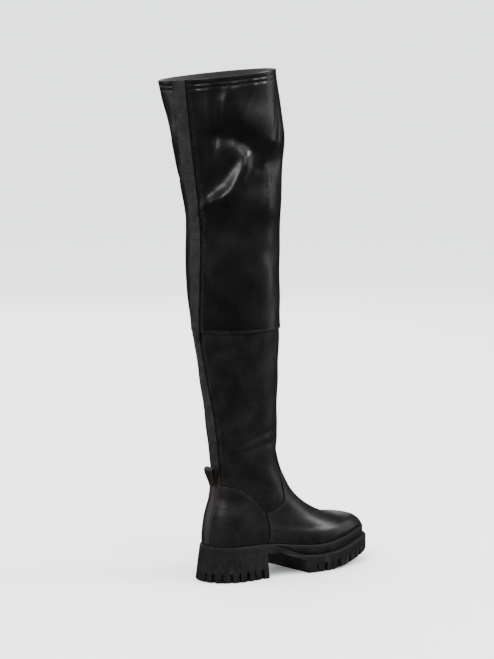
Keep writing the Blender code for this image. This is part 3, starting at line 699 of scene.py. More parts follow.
def overlay(name, outline, turns, top, finish):
    """Leather overlay over the upper, with rounded edges along its seams."""
    some, low, high = margin_line(turns, outline, 0.0, 0.0, top)
    turns, low, high = turns[some], low[some], high[some]
    steps = np.concatenate((np.linspace(0, 0.965, 100), (0.975, 0.984, 0.991, 0.996, 1.0)))
    levels = low[None, :] + steps[:, None] * (high - low)[None, :]
    turn = np.broadcast_to(turns, levels.shape)
    flat = skin(turn, levels)
    gap = edge_distance(outline, flat[..., 1], flat[..., 2])
    outer = surface(turn, levels, CLEARANCE + OVERLAY * (0.35 + 0.65 * rolled(gap, CUT_EDGE)))
    few = np.linspace(0, len(steps) - 1, 30).round().astype(int)
    inner = surface(turn[few], levels[few], CLEARANCE * 0.3)
    lift_to_rim(outer)
    lift_to_rim(inner)
    made = wall(name, outer, all_rows(inner, few, len(steps)), False, (finish,))
    # painted shade: faces near the overlay's edge and just over the sole's rim get near-black paint
    seam = (gap < SEAM_SHADE) | by_the_rim(outer)
    shade_faces(made, seam[:-1, :-1] & seam[1:, 1:])
    return made


def lift_to_rim(points):
    """Raises the lowest points of a grid onto the rim of the sole."""
    rim = rim_height(points[..., 1]) + CLEARANCE
    foot = points[..., 2] < TOE_HEIGHT + UPPER_WALL
    points[..., 2] = np.where(foot, np.maximum(points[..., 2], rim), points[..., 2])


def by_the_rim(points):
    """Which points lie just over the rim of the sole, in the strip that gets painted shade."""
    return points[..., 2] < rim_height(points[..., 1]) + SEAM_SHADE * 1.3


def all_rows(points, kept, count):
    """A grid with all its rows, straight between the rows that were kept."""
    full = np.empty((count,) + points.shape[1:])
    for column, axis in np.ndindex(points.shape[1:]):
        full[:, column, axis] = np.interp(np.arange(count), kept, points[:, column, axis])
    return full


def shade_faces(made, chosen):
    """Give the chosen faces of the outer side, one value each, the near-black finish of painted edges and of
    the painted shade along seams and over the sole's rim.
    """
    # near-black painted shade and edge paint go on the chosen faces
    made.data.materials.append(finish_named("black edge paint"))
    slots = np.zeros(len(made.data.polygons), dtype=np.int32)
    made.data.polygons.foreach_get("material_index", slots)
    slots[np.flatnonzero(chosen.ravel())] = len(made.data.materials) - 1
    made.data.polygons.foreach_set("material_index", slots)


def make_upper(finish, lining):
    """Leather of foot and lower leg, as one wall from the sole to the knee seam."""
    turns = np.arange(ROUND) / ROUND
    levels = even_levels(FEATHER, KNEE, 224)
    outer = surface(turns[None, :], levels[:, None], 0.0)
    inner = surface(turns[None, :], even_levels(FEATHER, KNEE, 60)[:, None], -UPPER_WALL)
    lift_to_rim(outer)
    lift_to_rim(inner)
    made = wall("shaft_leather", outer, inner, True, (finish, lining))
    # painted shade along the foot of the upper, just over the sole's rim
    shade_faces(made, by_the_rim(outer)[:-1])
    stand_for(made, "upper")


def make_thigh(finish, lining):
    """Stretch panel from the knee seam to the stitched hem."""
    foot, foot_scale, hem_scale = thigh_ends()
    turns = np.arange(ROUND) / ROUND
    hem = TOP - np.array(HEM_ROWS) / hem_scale
    low = foot + np.array(KNEE_ROWS) / foot_scale
    levels = np.sort(np.concatenate((even_levels(foot, TOP, 200), hem, low)))
    down = (TOP - levels) * hem_scale
    up = (levels - foot) * foot_scale
    edge = rolled(np.minimum(down, up), CUT_EDGE)
    middle = CLEARANCE + THIGH_WALL / 2
    pucker = (1.0 + 0.5 * np.sin(turns * 190) + 0.4 * np.sin(turns * 77))[None, :]
    grooves = sum(np.exp(-((down - seam) / HEM_GROOVE_WIDTH) ** 2) for seam in HEM_SEAMS)[:, None] * pucker
    lift = (middle + edge * THIGH_WALL / 2)[:, None] - HEM_GROOVE * grooves
    outer = surface(turns[None, :], levels[:, None], lift)
    # the inner side keeps every row near its two ends and 60 between them
    last, ends = len(levels) - 1, np.arange(7)
    few = np.unique(np.concatenate((ends, np.linspace(6, last - 6, 60).astype(int), last - ends)))
    inner = surface(turns[None, :], levels[few, None], (middle - edge * THIGH_WALL / 2)[few, None])
    made = wall("thigh_panel", outer, inner, True, (finish, lining))
    stand_for(made, "thigh_shaft")


def thigh_ends():
    """Level of the thigh panel's lower edge, and metres a level there and at its top."""
    foot = level_of(0.25, KNEE_HEIGHT - THIGH_LAP)
    return foot, metres_a_level(foot + 0.2), metres_a_level(TOP - 0.2)


def strip_lift(height):
    """How far the back strip stands off the lower leg's skin."""
    ramp = np.clip((height - KNEE_HEIGHT + THIGH_LAP + 0.012) / 0.008, 0, 1)
    return 2 * CLEARANCE + ramp * (THIGH_WALL + CLEARANCE)


def strip_place(level, share):
    """Turn of a place across the back strip, from -1 on one edge to 1 on the other."""
    course = through(STRIP_COURSE, level - ANKLE)
    middle = course[..., 0]
    return middle + STRIP_WIDTH * course[..., 1] / 2 / metres_a_turn(middle, level) * share


def make_back_strip(finish):
    """Ribbed elastic from the counter to the top."""
    look = bpy.context.scene.boot_look
    levels = even_levels(level_of(0.25, COUNTER_HEIGHT + 2 * CLEARANCE), TOP, 1500)
    shares = np.array((-1.0, -0.97, -0.9, -0.72, -0.45, -0.15, 0.15, 0.45, 0.72, 0.9, 0.97, 1.0))
    turn = strip_place(levels[:, None], shares[None, :])
    height = skin(turn, levels[:, None])[..., 2]
    run = np.concatenate(((0,), np.cumsum(np.linalg.norm(np.diff(skin(0.25, levels), axis=0), axis=1))))
    rib = np.abs(np.sin(run * math.pi / look.rib_pitch))[:, None] ** 0.7
    edge = rolled((1 - np.abs(shares)) * STRIP_WIDTH / 2, STRIP_EDGE)[None, :]
    ribbed = (rib - 0.6) * look.rib_height * np.clip((0.9 - np.abs(shares)) * 8, 0, 1)[None, :]
    lift = strip_lift(height)
    rise = lift + STRIP_RISE * (0.25 + 0.75 * edge) + ribbed
    made = flat_strap("back_elastic", turn, levels, rise, lift, finish)
    # painted shade along both edges of the back strip, where it steps down to the leather
    edges = np.abs(shares[:-1] + shares[1:]) > 1.85
    shade_faces(made, np.broadcast_to(edges, (len(levels) - 1, len(edges))))
    stand_for(made, "back_strip")


def flat_strap(name, turn, levels, rise, lift, finish):
    """Strap that lies on the skin, from how far its outer and its inner side stand off."""
    outer, inner = (surface(turn, levels[:, None], height) for height in (rise, lift))
    return outward(wall(name, outer, inner, False, (finish,)))


def swept(name, path, across, half_width, thickness, finish):
    """Strap along a path: half width across at each point, thickness along the path's own normal."""
    path = np.array(path)
    tangent = np.gradient(path, axis=0)
    tangent /= np.linalg.norm(tangent, axis=1, keepdims=True)
    across = np.broadcast_to(np.array(across, dtype=float), path.shape)
    out = np.cross(tangent, across)
    ring = []
    for corner_a, corner_b, start in ((1, 1, 0), (-1, 1, 90), (-1, -1, 180), (1, -1, 270)):
        for angle in (0, 30, 60, 90):
            bend = math.radians(start + angle)
            ring.append((corner_a, corner_b, math.cos(bend), math.sin(bend)))
    ring = np.array(ring)
    radius = thickness * 0.42
    a = (half_width[:, None] - radius) * ring[None, :, 0] + radius * ring[None, :, 2]
    b = (thickness / 2 - radius) * ring[None, :, 1] + radius * ring[None, :, 3]
    points = path[:, None, :] + across[:, None, :] * a[..., None] + out[:, None, :] * b[..., None]
    rows, columns = points.shape[:2]
    faces = grid_faces(rows, columns, True).tolist()
    faces += [tuple(range(columns))[::-1], tuple((rows - 1) * columns + j for j in range(columns))]
    mesh = bpy.data.meshes.new(name)
    mesh.from_pydata(points.reshape(-1, 3).tolist(), [], faces)
    mesh.materials.append(finish)
    mesh.shade_smooth()
    return outward(new_object(name, mesh))


def make_pull_loop(finish):
    """Folded strap that stands over the counter's top, leaning back."""
    low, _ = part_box("pull_loop")
    radius = LOOP_GAP / 2 + LOOP_LEATHER / 2
    straight = LOOP_HEIGHT - LOOP_GAP / 2 - LOOP_LEATHER
    start = low[1] + LOOP_LEATHER / 2
    path = [(start, z) for z in np.linspace(0, straight, 14)[:-1]]
    for angle in np.linspace(math.pi, 0, 15):
        path.append((start + radius + radius * math.cos(angle), straight + radius * math.sin(angle)))
    foot = start + LOOP_LEATHER * 1.15
    for share in np.linspace(0, 1, 16)[1:]:
        bend = share * share * (3 - 2 * share)
        path.append((start + 2 * radius + (foot - start - 2 * radius) * bend, straight * (1 - share)))
    path = np.array([(0.0, y + 0.10 * z, low[2] + z) for y, z in path])
    width = LOOP_WIDTH * (0.40 + 0.10 * (path[:, 2] - low[2]) / LOOP_HEIGHT)
    made = swept("loop_leather", path, (1, 0, 0), width, LOOP_LEATHER, finish)
    stand_for(made, "pull_loop")


def feather(turn, margin):
    """Feather line in plan, moved out by a margin."""
    here = skin(turn, FEATHER)
    ahead = skin(turn + 0.003, FEATHER) - skin(turn - 0.003, FEATHER)
    out = np.stack((ahead[..., 1], -ahead[..., 0], np.zeros(ahead.shape[:-1])), axis=-1)
    out /= np.linalg.norm(out, axis=-1, keepdims=True)
    point = here + out * np.asarray(margin)[..., None]
    point[..., 2] = 0.0
    return point


def side_profile(name, points):
    """Cutter with a side view given as (y, z), right across the boot."""
    bm = bmesh.new()
    rings = [[bm.verts.new((x, y, z)) for y, z in points] for x in (-BALL_WIDTH, BALL_WIDTH)]
    closed_loft(bm, rings)
    return placed(name, mesh_of(name, bm))


def cut(target, tools, operation="DIFFERENCE"):
    """Cuts the target with each tool, keeps the result as a plain mesh and removes the tools."""
    for tool in tools:
        modifier = target.modifiers.new("cut", "BOOLEAN")
        modifier.operation = operation
        modifier.object = tool
        modifier.solver = "EXACT"
        finish_modifiers(target)
        bpy.data.objects.remove(tool)


def finish_modifiers(made):
    """Turns the evaluated object into its plain mesh."""
    graph = bpy.context.evaluated_depsgraph_get()
    mesh = bpy.data.meshes.new_from_object(made.evaluated_get(graph))
    made.modifiers.clear()
    old = made.data
    made.data = mesh
    bpy.data.meshes.remove(old)


def sole_block(name, band, finish):
    """Whole sole, or with band its upper part's own outline, from the tread to the rim."""
    turns = np.arange(ROUND) / ROUND
    line = feather(turns, SOLE_MARGIN)
    y = line[:, 1]
    front = np.clip((foot_share(y) - 0.30) / 0.16, 0, 1)
    heel = 1 - front
    rim, tread = rim_height(y), tread_height(y)
    joint = rim - BAND_THICKNESS
    low = SOLE_MARGIN + heel * HEEL_FLARE + front * BUMPER
    rows = [
        # rounded edge of the tread and the lugs' side
        (tread, low - TREAD_EDGE),
        (tread + TREAD_EDGE * 0.3, low - TREAD_EDGE * 0.3),
        (tread + TREAD_EDGE, low),
        (tread + LUG_HEIGHT, low - heel * HEEL_FLARE * 0.25),
        # bumper of the forefoot, which steps in under the band
        (joint - 0.0040, SOLE_MARGIN + heel * HEEL_FLARE * 0.36 + front * BUMPER),
        (joint - 0.0026, SOLE_MARGIN + heel * HEEL_FLARE * 0.34 + front * BUMPER * 0.97),
        (joint - 0.0008, SOLE_MARGIN + heel * HEEL_FLARE * 0.27 + front * BUMPER * 0.45),
        (joint, SOLE_MARGIN + heel * HEEL_FLARE * 0.25),
        # band and its rounded rim
        (joint + (rim - joint) * 0.5, SOLE_MARGIN + heel * HEEL_FLARE * 0.12 + band * BAND_SWELL),
        (rim - 0.0016, SOLE_MARGIN + 0.0001),
        (rim - 0.0005, SOLE_MARGIN - 0.0004),
        (rim, SOLE_MARGIN - 0.0014),
    ]
    bm = bmesh.new()
    rings = []
    for height, margin in rows:
        if band:
            margin = np.minimum(margin, SOLE_MARGIN + BAND_SWELL)
        ring = feather(turns, margin)
        ring[:, 2] = height
        rings.append([bm.verts.new(point) for point in ring])
    loft(bm, rings)
    # tread and top as strips right across, from the heel's middle to the toe's
    for row in (rings[0], rings[-1]):
        order = row[ROUND // 4:] + row[:ROUND // 4]
        for k in range(ROUND // 2):
            corners = []
            for corner in (order[k], order[k + 1], order[-(k + 1) % ROUND], order[-k % ROUND]):
                if corner not in corners:
                    corners.append(corner)
            bm.faces.new(corners)
    mesh = mesh_of(name, bm)
    mesh.materials.append(finish)
    return new_object(name, mesh)


def arch_cutter():
    """Space under the arch, between heel block and forefoot."""
    run = ARCH_REAR - ARCH_FRONT
    points = [(ARCH_REAR, -0.01), (ARCH_REAR, ARCH_HEIGHT)]
    for share, rise in ((0.28, 1.0), (0.42, 0.92), (0.86, 0.60), (0.97, 0.56), (1.0, 0.10)):
        points.append((ARCH_REAR - run * share, ARCH_HEIGHT * rise))
    points.append((ARCH_FRONT - 0.0040, -0.01))
    return side_profile("arch_cutter", points)


def band_cutter(name, shift):
    """Everything over the joint of outsole and band, in side view."""
    toe = HEEL_BACK - FOOT_LENGTH - 0.02
    stations = np.linspace(BAND_REAR + shift, toe, 48)
    share = np.clip((BAND_REAR - stations) / (BAND_REAR - ARCH_FRONT), 0, 1)
    blend = share * share * (3 - 2 * share)
    floor = rim_height(stations) - BAND_THICKNESS * (0.22 + 0.78 * blend) - shift
    points = list(zip(stations, floor)) + [(toe, TOE_HEIGHT + 0.03), (BAND_REAR + shift, TOE_HEIGHT + 0.03)]
    return side_profile(name, points)


def slot_cutter():
    """Slots in the tread's edge, a narrow and a wide one in turn, round heel and forefoot."""
    line = feather(0.25 + np.arange(721) / 720, SOLE_MARGIN + BUMPER)
    run = np.concatenate(((0,), np.cumsum(np.linalg.norm(np.diff(line, axis=0), axis=1))))
    bm = bmesh.new()
    places = np.arange(LUG_PITCH / 2, run[-1], LUG_PITCH)
    for number, place in enumerate(places):
        index = min(int(np.searchsorted(run, place)), 719)
        here = line[index]
        if ARCH_FRONT - 0.009 <= here[1] <= ARCH_REAR + 0.005:
            continue
        along = line[index + 1] - line[index - 1]
        along /= np.linalg.norm(along)
        out = np.array((along[1], -along[0], 0.0))
        width = WIDE_SLOT if number % 2 else NARROW_SLOT
        top = float(tread_height(here[1])) + LUG_HEIGHT
        rows = []
        for level, share in ((-0.005, 1.0), (top - 0.0012, 1.0), (top - 0.0003, 0.82), (top, 0.5)):
            ring = []
            for a, b in ((-1, -1), (1, -1), (1, 1), (-1, 1)):
                spot = here + out * (0.004 + b * (LUG_DEPTH / 2 + 0.004)) + along * (a * width / 2 * share)
                ring.append(bm.verts.new((spot[0], spot[1], level)))
            rows.append(ring)
        closed_loft(bm, rows)
    return placed("slot_cutter", mesh_of("slot_cutter", bm))


def make_sole(rubber, band_rubber):
    """Cleated outsole and the band between its forefoot and the upper."""
    outsole = sole_block("cleated_outsole", 0, rubber)
    cut(outsole, (arch_cutter(), band_cutter("seat_cutter", CLEARANCE), slot_cutter()))
    band = sole_block("midsole_band", 1, band_rubber)
    cut(band, (band_cutter("band_cutter", -BAND_GROOVE),), "INTERSECT")
    for made, node, width in ((outsole, "outsole", 0.0005), (band, "midsole", 0.0006)):
        bevel = made.modifiers.new("moulded edge", "BEVEL")
        bevel.width = width
        bevel.segments = 2
        bevel.limit_method = "ANGLE"
        bevel.angle_limit = math.radians(38)
        bevel.use_clamp_overlap = True
        finish_modifiers(made)
        made.data.shade_smooth()
        made.data.set_sharp_from_angle(angle=math.radians(50))
        stand_for(made, node)


def joined_lines(name, lines):
    """One mesh of several separate lines with their outward directions."""
    points = np.concatenate([line[0] for line in lines])
    out = np.concatenate([line[1] for line in lines])
    edges, start = [], 0
    for line, _ in lines:
        edges += [(start + k, start + k + 1) for k in range(len(line) - 1)]
        start += len(line)
    mesh = bpy.data.meshes.new(name)
    mesh.from_pydata(points.tolist(), edges, [])
    layer = mesh.attributes.new("out", "FLOAT_VECTOR", "POINT")
    layer.data.foreach_set("vector", out.ravel())
    return mesh


def along_path_tree(name):
    """Geometry nodes that set one small shape along lines, at an even pitch, upright on the surface."""
    tree = bpy.data.node_groups.new(name, "GeometryNodeTree")
    for label, side, kind in (
        ("Lines", "INPUT", "Geometry"), ("Shape", "INPUT", "Object"), ("Pitch", "INPUT", "Float"),
        ("Size", "INPUT", "Vector"), ("Finish", "INPUT", "Material"), ("Geometry", "OUTPUT", "Geometry"),
    ):
        tree.interface.new_socket(label, in_out=side, socket_type="NodeSocket" + kind)
    given = add(tree, "NodeGroupInput").outputs
    out = add(tree, "GeometryNodeInputNamedAttribute", {"Name": "out"}, data_type="FLOAT_VECTOR")
    line = add(tree, "GeometryNodeMeshToCurve", {"Mesh": given["Lines"]}).outputs["Curve"]
    even = add(tree, "GeometryNodeResampleCurve", {"Curve": line, "Length": given["Pitch"]}, mode="LENGTH")
    tangent = add(tree, "GeometryNodeInputTangent").outputs["Tangent"]
    turned = "FunctionNodeAlignRotationToVector"
    first = add(tree, turned, {"Vector": tangent}, axis="X", pivot_axis="AUTO").outputs["Rotation"]
    upright = {"Rotation": first, "Vector": out.outputs["Attribute"]}
    second = add(tree, turned, upright, axis="Z", pivot_axis="X")
    shape = add(tree, "GeometryNodeObjectInfo", {"Object": given["Shape"]})
    spread = add(
        tree,
        "GeometryNodeInstanceOnPoints",
        {
            "Points": even.outputs["Curve"],
            "Instance": shape.outputs["Geometry"],
            "Rotation": second.outputs["Rotation"],
            "Scale": given["Size"],
        },
    )
    real = add(tree, "GeometryNodeRealizeInstances", {"Geometry": spread.outputs["Instances"]})
    dressed = {"Geometry": real.outputs["Geometry"], "Material": given["Finish"]}
    finished = add(tree, "GeometryNodeSetMaterial", dressed)
    add(tree, "NodeGroupOutput", {"Geometry": finished.outputs["Geometry"]})
    return tree


def repeat_along(name, lines, shape, pitch, size, finish):
    """A shape repeated along lines by geometry nodes, kept as a plain mesh; the shape goes."""
    tree = bpy.data.node_groups.get("shapes along lines") or along_path_tree("shapes along lines")
    made = placed(name, joined_lines(name, lines))
    modifier = made.modifiers.new("repeat", "NODES")
    modifier.node_group = tree
    values = {"Shape": shape, "Pitch": pitch, "Size": size, "Finish": finish}
    for item in tree.interface.items_tree:
        if item.in_out == "INPUT" and item.name in values:
            modifier[item.identifier] = values[item.name]
    finish_modifiers(made)
    made.data.shade_smooth()
    bpy.data.objects.remove(shape)
    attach(made, "boot")
    return made


def thread_shape():
    """One stitch, a metre long and wide: a rounded bar that dips into the surface at both ends."""
    bm = bmesh.new()
    rings = []
    sides = 6
    end, bend = (0.5, -0.5, 0.28), (0.34, -0.02, 0.46)
    for x, lift, radius in ((-0.5, *end[1:]), (-0.34, *bend[1:]), (0.0, 0.12, 0.5), bend, end):
        ring = []
        for k in range(sides):
            angle = k * math.tau / sides
            ring.append(bm.verts.new((x, radius * math.cos(angle), lift + radius * math.sin(angle))))
        rings.append(ring)
    closed_loft(bm, rings)
    return placed("thread_shape", mesh_of("thread_shape", bm))


def seam_line(turns, levels, offset):
    """Points of a seam over the creased skin, with their outward directions."""
    return surface(turns, levels, offset), normals(turns, levels)


def stitch_lines():
    """Every visible seam of the boot: (points, outward directions)."""
    lines = []
    lift = CLEARANCE + OVERLAY
    turns = np.linspace(0.02, 0.48, 240)
    outline = counter_outline()
    for margin in OVERLAY_SEAMS:
        some, _, high = margin_line(turns, outline, margin, 0.25, ANKLE)
        for part in (turns < 0.25, turns > 0.25):
            keep = some & part
            lines.append(seam_line(turns[keep], high[keep], lift))
    turns = np.linspace(0.42, 1.08, 420)
    outline = vamp_outline()
    for margin in OVERLAY_SEAMS:
        some, _, high = margin_line(turns, outline, margin, 0.02, ANKLE + 2)
        lines.append(seam_line(turns[some], high[some], lift))
    around = np.linspace(0, 1, 500)
    foot, foot_scale, hem_scale = thigh_ends()
    rows = [foot + up / foot_scale for up in KNEE_SEAMS] + [TOP - down / hem_scale for down in HEM_SEAMS]
    for level in rows:
        lines.append(seam_line(around, np.full(len(around), level), CLEARANCE + THIGH_WALL))
    levels = zip_levels()
    girth = metres_a_turn(ZIP_TURN, levels)
    for side in (-1, 1):
        lines.append(seam_line(ZIP_TURN + side * (TAPE_WIDTH / 2 + ZIP_SEAM) / girth, levels, THREAD_SEAT))
    levels = np.linspace(level_of(0.25, COUNTER_HEIGHT + 0.004), TOP - 0.02, 700)
    for share in STRIP_SEAMS:
        turn = strip_place(levels, share)
        height = skin(turn, levels)[..., 2]
        over = np.where(height > KNEE_HEIGHT - THIGH_LAP, THIGH_WALL + CLEARANCE, 0.0)
        lines.append(seam_line(turn, levels, over + THREAD_SEAT))
    return lines


def zip_levels():
    """Levels from the zip's foot to its top."""
    return even_levels(level_of(ZIP_TURN, ZIP_BOTTOM), level_of(ZIP_TURN, ZIP_TOP), 160)


def make_stitching(finish):
    """Thread along every seam, as one piece."""
    look = bpy.context.scene.boot_look
    size = (look.stitch_length, look.thread, look.thread * 0.8)
    made = repeat_along("stitching", stitch_lines(), thread_shape(), look.stitch_pitch, size, finish)


def make_zip(tape_finish, metal):
    """Woven tape and two rows of teeth up the inner side, and the finish of slider and pull."""
    look = bpy.context.scene.boot_look
    levels = zip_levels()
    shares = np.array((-1.0, -0.97, -0.88, -0.6, -0.3, 0.0, 0.3, 0.6, 0.88, 0.97, 1.0))
    girth = metres_a_turn(ZIP_TURN, levels)[:, None]
    turn = ZIP_TURN + TAPE_WIDTH / 2 / girth * shares[None, :]
    thick = OVERLAY * 0.6
    edge = rolled((1 - np.abs(shares)) * TAPE_WIDTH / 2, TAPE_EDGE)[None, :]
    rise = 2 * CLEARANCE + thick * (0.3 + 0.7 * edge)
    stand_for(flat_strap("zip_tape_woven", turn, levels, rise, CLEARANCE, tape_finish), "zip_tape")
    top = level_of(ZIP_TURN, ZIP_TOP - SLIDER_LENGTH * 1.5 - CLEARANCE)
    run = np.linspace(levels[0] + 0.02, top, 300)
    lift = 2 * CLEARANCE + thick + TEETH_RISE * 0.45
    lines = []
    for side in (-1, 1):
        shift = TEETH_WIDTH / 4.4 / girth.mean() * side
        lines.append(seam_line(np.full(len(run), ZIP_TURN + shift), run, lift))
    bm = bmesh.new()
    bmesh.ops.create_cube(bm, size=1.0)
    bmesh.ops.bevel(bm, geom=list(bm.edges), offset=0.22, segments=2, affect="EDGES")
    shape = placed("tooth_shape", mesh_of("tooth_shape", bm))
    size = (look.tooth_pitch * 0.55, TEETH_WIDTH * 0.55, TEETH_RISE * 0.9)
    teeth = repeat_along("zip_teeth_row", lines, shape, look.tooth_pitch, size, metal)
    stand_for(teeth, "zip_teeth")
    for node in ("zip_slider", "zip_pull"):
        refinish(node, metal)


def refinish(node, finish):
    """Gives a solid that stays in view its finish."""
    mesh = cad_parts[node].data
    mesh.materials.clear()
    mesh.materials.append(finish)


def heel_stay(finish):
    """Narrow leather strap over the counter, under the pull loop."""
    rows = np.array(HEEL_STAY)
    levels = np.linspace(rows[0, 0], rows[-1, 0], 160)
    shares = np.array((-1.0, -0.985, -0.95, -0.88, -0.5, 0.0, 0.5, 0.88, 0.95, 0.985, 1.0))
    middle = np.interp(levels, rows[:, 0], rows[:, 1])[:, None]
    half = np.interp(levels, rows[:, 0], rows[:, 2])[:, None]
    turn = middle + half * shares[None, :]
    edge = rolled((1 - np.abs(shares)) * STRIP_WIDTH / 2, STAY_EDGE)[None, :]
    lift = CLEARANCE + OVERLAY
    rise = lift + STAY_LEATHER * (0.1 + 0.9 * edge)
    flat_strap("heel_stay", turn, levels, rise, lift - OVERLAY / 2, finish)


# Patterns of a surface: texture, its settings, its output and its scale for a period of one unit
RELIEFS = {
    "grain": ("ShaderNodeTexVoronoi", {"feature": "SMOOTH_F1"}, "Distance", 1.0),
    "crackle": ("ShaderNodeTexVoronoi", {"feature": "DISTANCE_TO_EDGE"}, "Distance", 1.0),
    "uneven": ("ShaderNodeTexNoise", {}, "Fac", 1.0),
    "ribs": ("ShaderNodeTexWave", {"bands_direction": "Z"}, "Fac", 0.314),
    "warp": ("ShaderNodeTexWave", {"bands_direction": "X"}, "Fac", 0.314),
    "weft": ("ShaderNodeTexWave", {"bands_direction": "Y"}, "Fac", 0.314),
}

# Each finish: its darker and its lighter colour, which may be a name in the panel's colours; size
# of the mottling in millimetres; lowest and highest roughness; reliefs as (kind, size in
# millimetres along X, Y and Z, height in millimetres); colour of worn edges; colour and strength of
# the dust near the ground, where there is any; and the shader's own numbers. Grain and weave are
# drawn at their real size or a little coarser, because finer ones wouldn't show at this distance.
FINISHES = {
    # calf leather with a rubbed wax finish, browned where it is worn
    "satin calf leather": (
        ("#080605", "calf"), 30, (0.39, 0.45),
        (("uneven", (14, 14, 9), 0.45), ("crackle", (5, 5, 3), 0.05), ("grain", (0.9, 0.9, 0.9), 0.035)),
        "#2e231c", ("#3a2f26", 0.12), {"IOR": 1.5, "Coat Weight": 0.15, "Coat Roughness": 0.30},
    ),
    # stretch fabric under a thin polyurethane coat
    "coated stretch leather": (
        ("#040405", "stretch"), 40, (0.31, 0.40),
        (("uneven", (16, 16, 26), 0.5), ("crackle", (7, 7, 4), 0.04), ("grain", (0.7, 0.7, 0.7), 0.02)),
        "#241d1a", None, {"IOR": 1.52, "Coat Weight": 0.10, "Coat Roughness": 0.28},
    ),
    # browned strap of the same leather, less finished
    "waxed strap leather": (
        ("#0e0b09", "strap"), 9, (0.36, 0.50),
        (("uneven", (7, 7, 4), 0.15), ("grain", (0.8, 0.8, 0.8), 0.03)),
        "#33261d", ("#41362d", 0.12), {"IOR": 1.5, "Coat Weight": 0.10, "Coat Roughness": 0.35},
    ),
    # woven rubber-cored elastic
    "ribbed elastic": (
        ("#0c0907", "elastic"), 14, (0.55, 0.70),
        (("ribs", (1, 1, 0.6), 0.05), ("warp", (0.8, 1, 1), 0.08), ("uneven", (1.2, 1.2, 1.2), 0.05)),
        "#4a3d34", None, {"IOR": 1.48, "Sheen Weight": 0.02, "Sheen Roughness": 0.5},
    ),
    # vulcanised rubber from a blasted mould
    "moulded rubber": (
        ("#060606", "rubber"), 26, (0.56, 0.70),
        (("uneven", (0.7, 0.7, 0.7), 0.04), ("uneven", (9, 9, 9), 0.12)),
        "#242120", ("#3f3932", 0.14), {"IOR": 1.52, "Specular IOR Level": 0.28},
    ),
    # smoother rubber of the side band
    "buffed rubber band": (
        ("#070707", "#0c0b0b"), 26, (0.50, 0.64),
        (("uneven", (0.6, 0.6, 0.6), 0.03), ("uneven", (12, 12, 12), 0.12)),
        "#242120", ("#3f3932", 0.10), {"IOR": 1.52, "Specular IOR Level": 0.30},
    ),
    # waxed polyester thread
    "black sewing thread": (
        ("#0c0a09", "#171310"), 5, (0.50, 0.62),
        (("uneven", (0.3, 0.3, 0.3), 0.04),),
        "#332a23", None, {"IOR": 1.5},
    ),
    # brushed textile lining on foam
    "textile lining": (
        ("#0e0c0b", "#181412"), 12, (0.78, 0.92),
        (("weft", (1, 0.9, 1), 0.05), ("ribs", (1, 1, 0.9), 0.05), ("uneven", (6, 6, 6), 0.25)),
        "#2c2622", None, {"IOR": 1.45, "Sheen Weight": 0.25, "Sheen Roughness": 0.6},
    ),
    # twill weave polyester tape
    "woven zip tape": (
        ("#060606", "#0c0b0b"), 8, (0.60, 0.74),
        (("weft", (1, 0.7, 1), 0.07), ("ribs", (1, 1, 0.7), 0.07)),
        "#262322", None, {"IOR": 1.45, "Specular IOR Level": 0.3},
    ),
    # acrylic paint on cut leather edges, and painted shade inside seams and just over the sole's rim
    "black edge paint": (
        ("#040404", "#070606"), 5, (0.70, 0.80),
        (("uneven", (0.5, 0.5, 0.5), 0.02),),
        "#0a0908", None, {"IOR": 1.45, "Specular IOR Level": 0.2},
    ),
    # nickel plate on zinc, with light wear
    "polished nickel": (
        ("#a8a49e", "#c4bfb8"), 3, (0.28, 0.42),
        (("uneven", (0.5, 0.5, 3), 0.012),),
        "#8f8b86", None, {"Metallic": 1.0},
    ),
}


# Shares of the noise between which the mottling runs, and of pointiness where an edge is worn
MOTTLING = (0.35, 0.65)
WORN = (0.52, 0.60, 0.8)
# Dust: height over the floor that it reaches, in metres, scale and shares of its flecks, and how
# much it dulls the gloss
DUST_HEIGHT = 0.10
DUST_SCALE = 260.0
DUST_FLECKS = (0.42, 0.70)
DUST_ROUGH = 0.5


def finish_named(name):
    """The material of that name, made the first time that it is asked for."""
    return bpy.data.materials.get(name) or make_finish(name, *FINISHES[name])


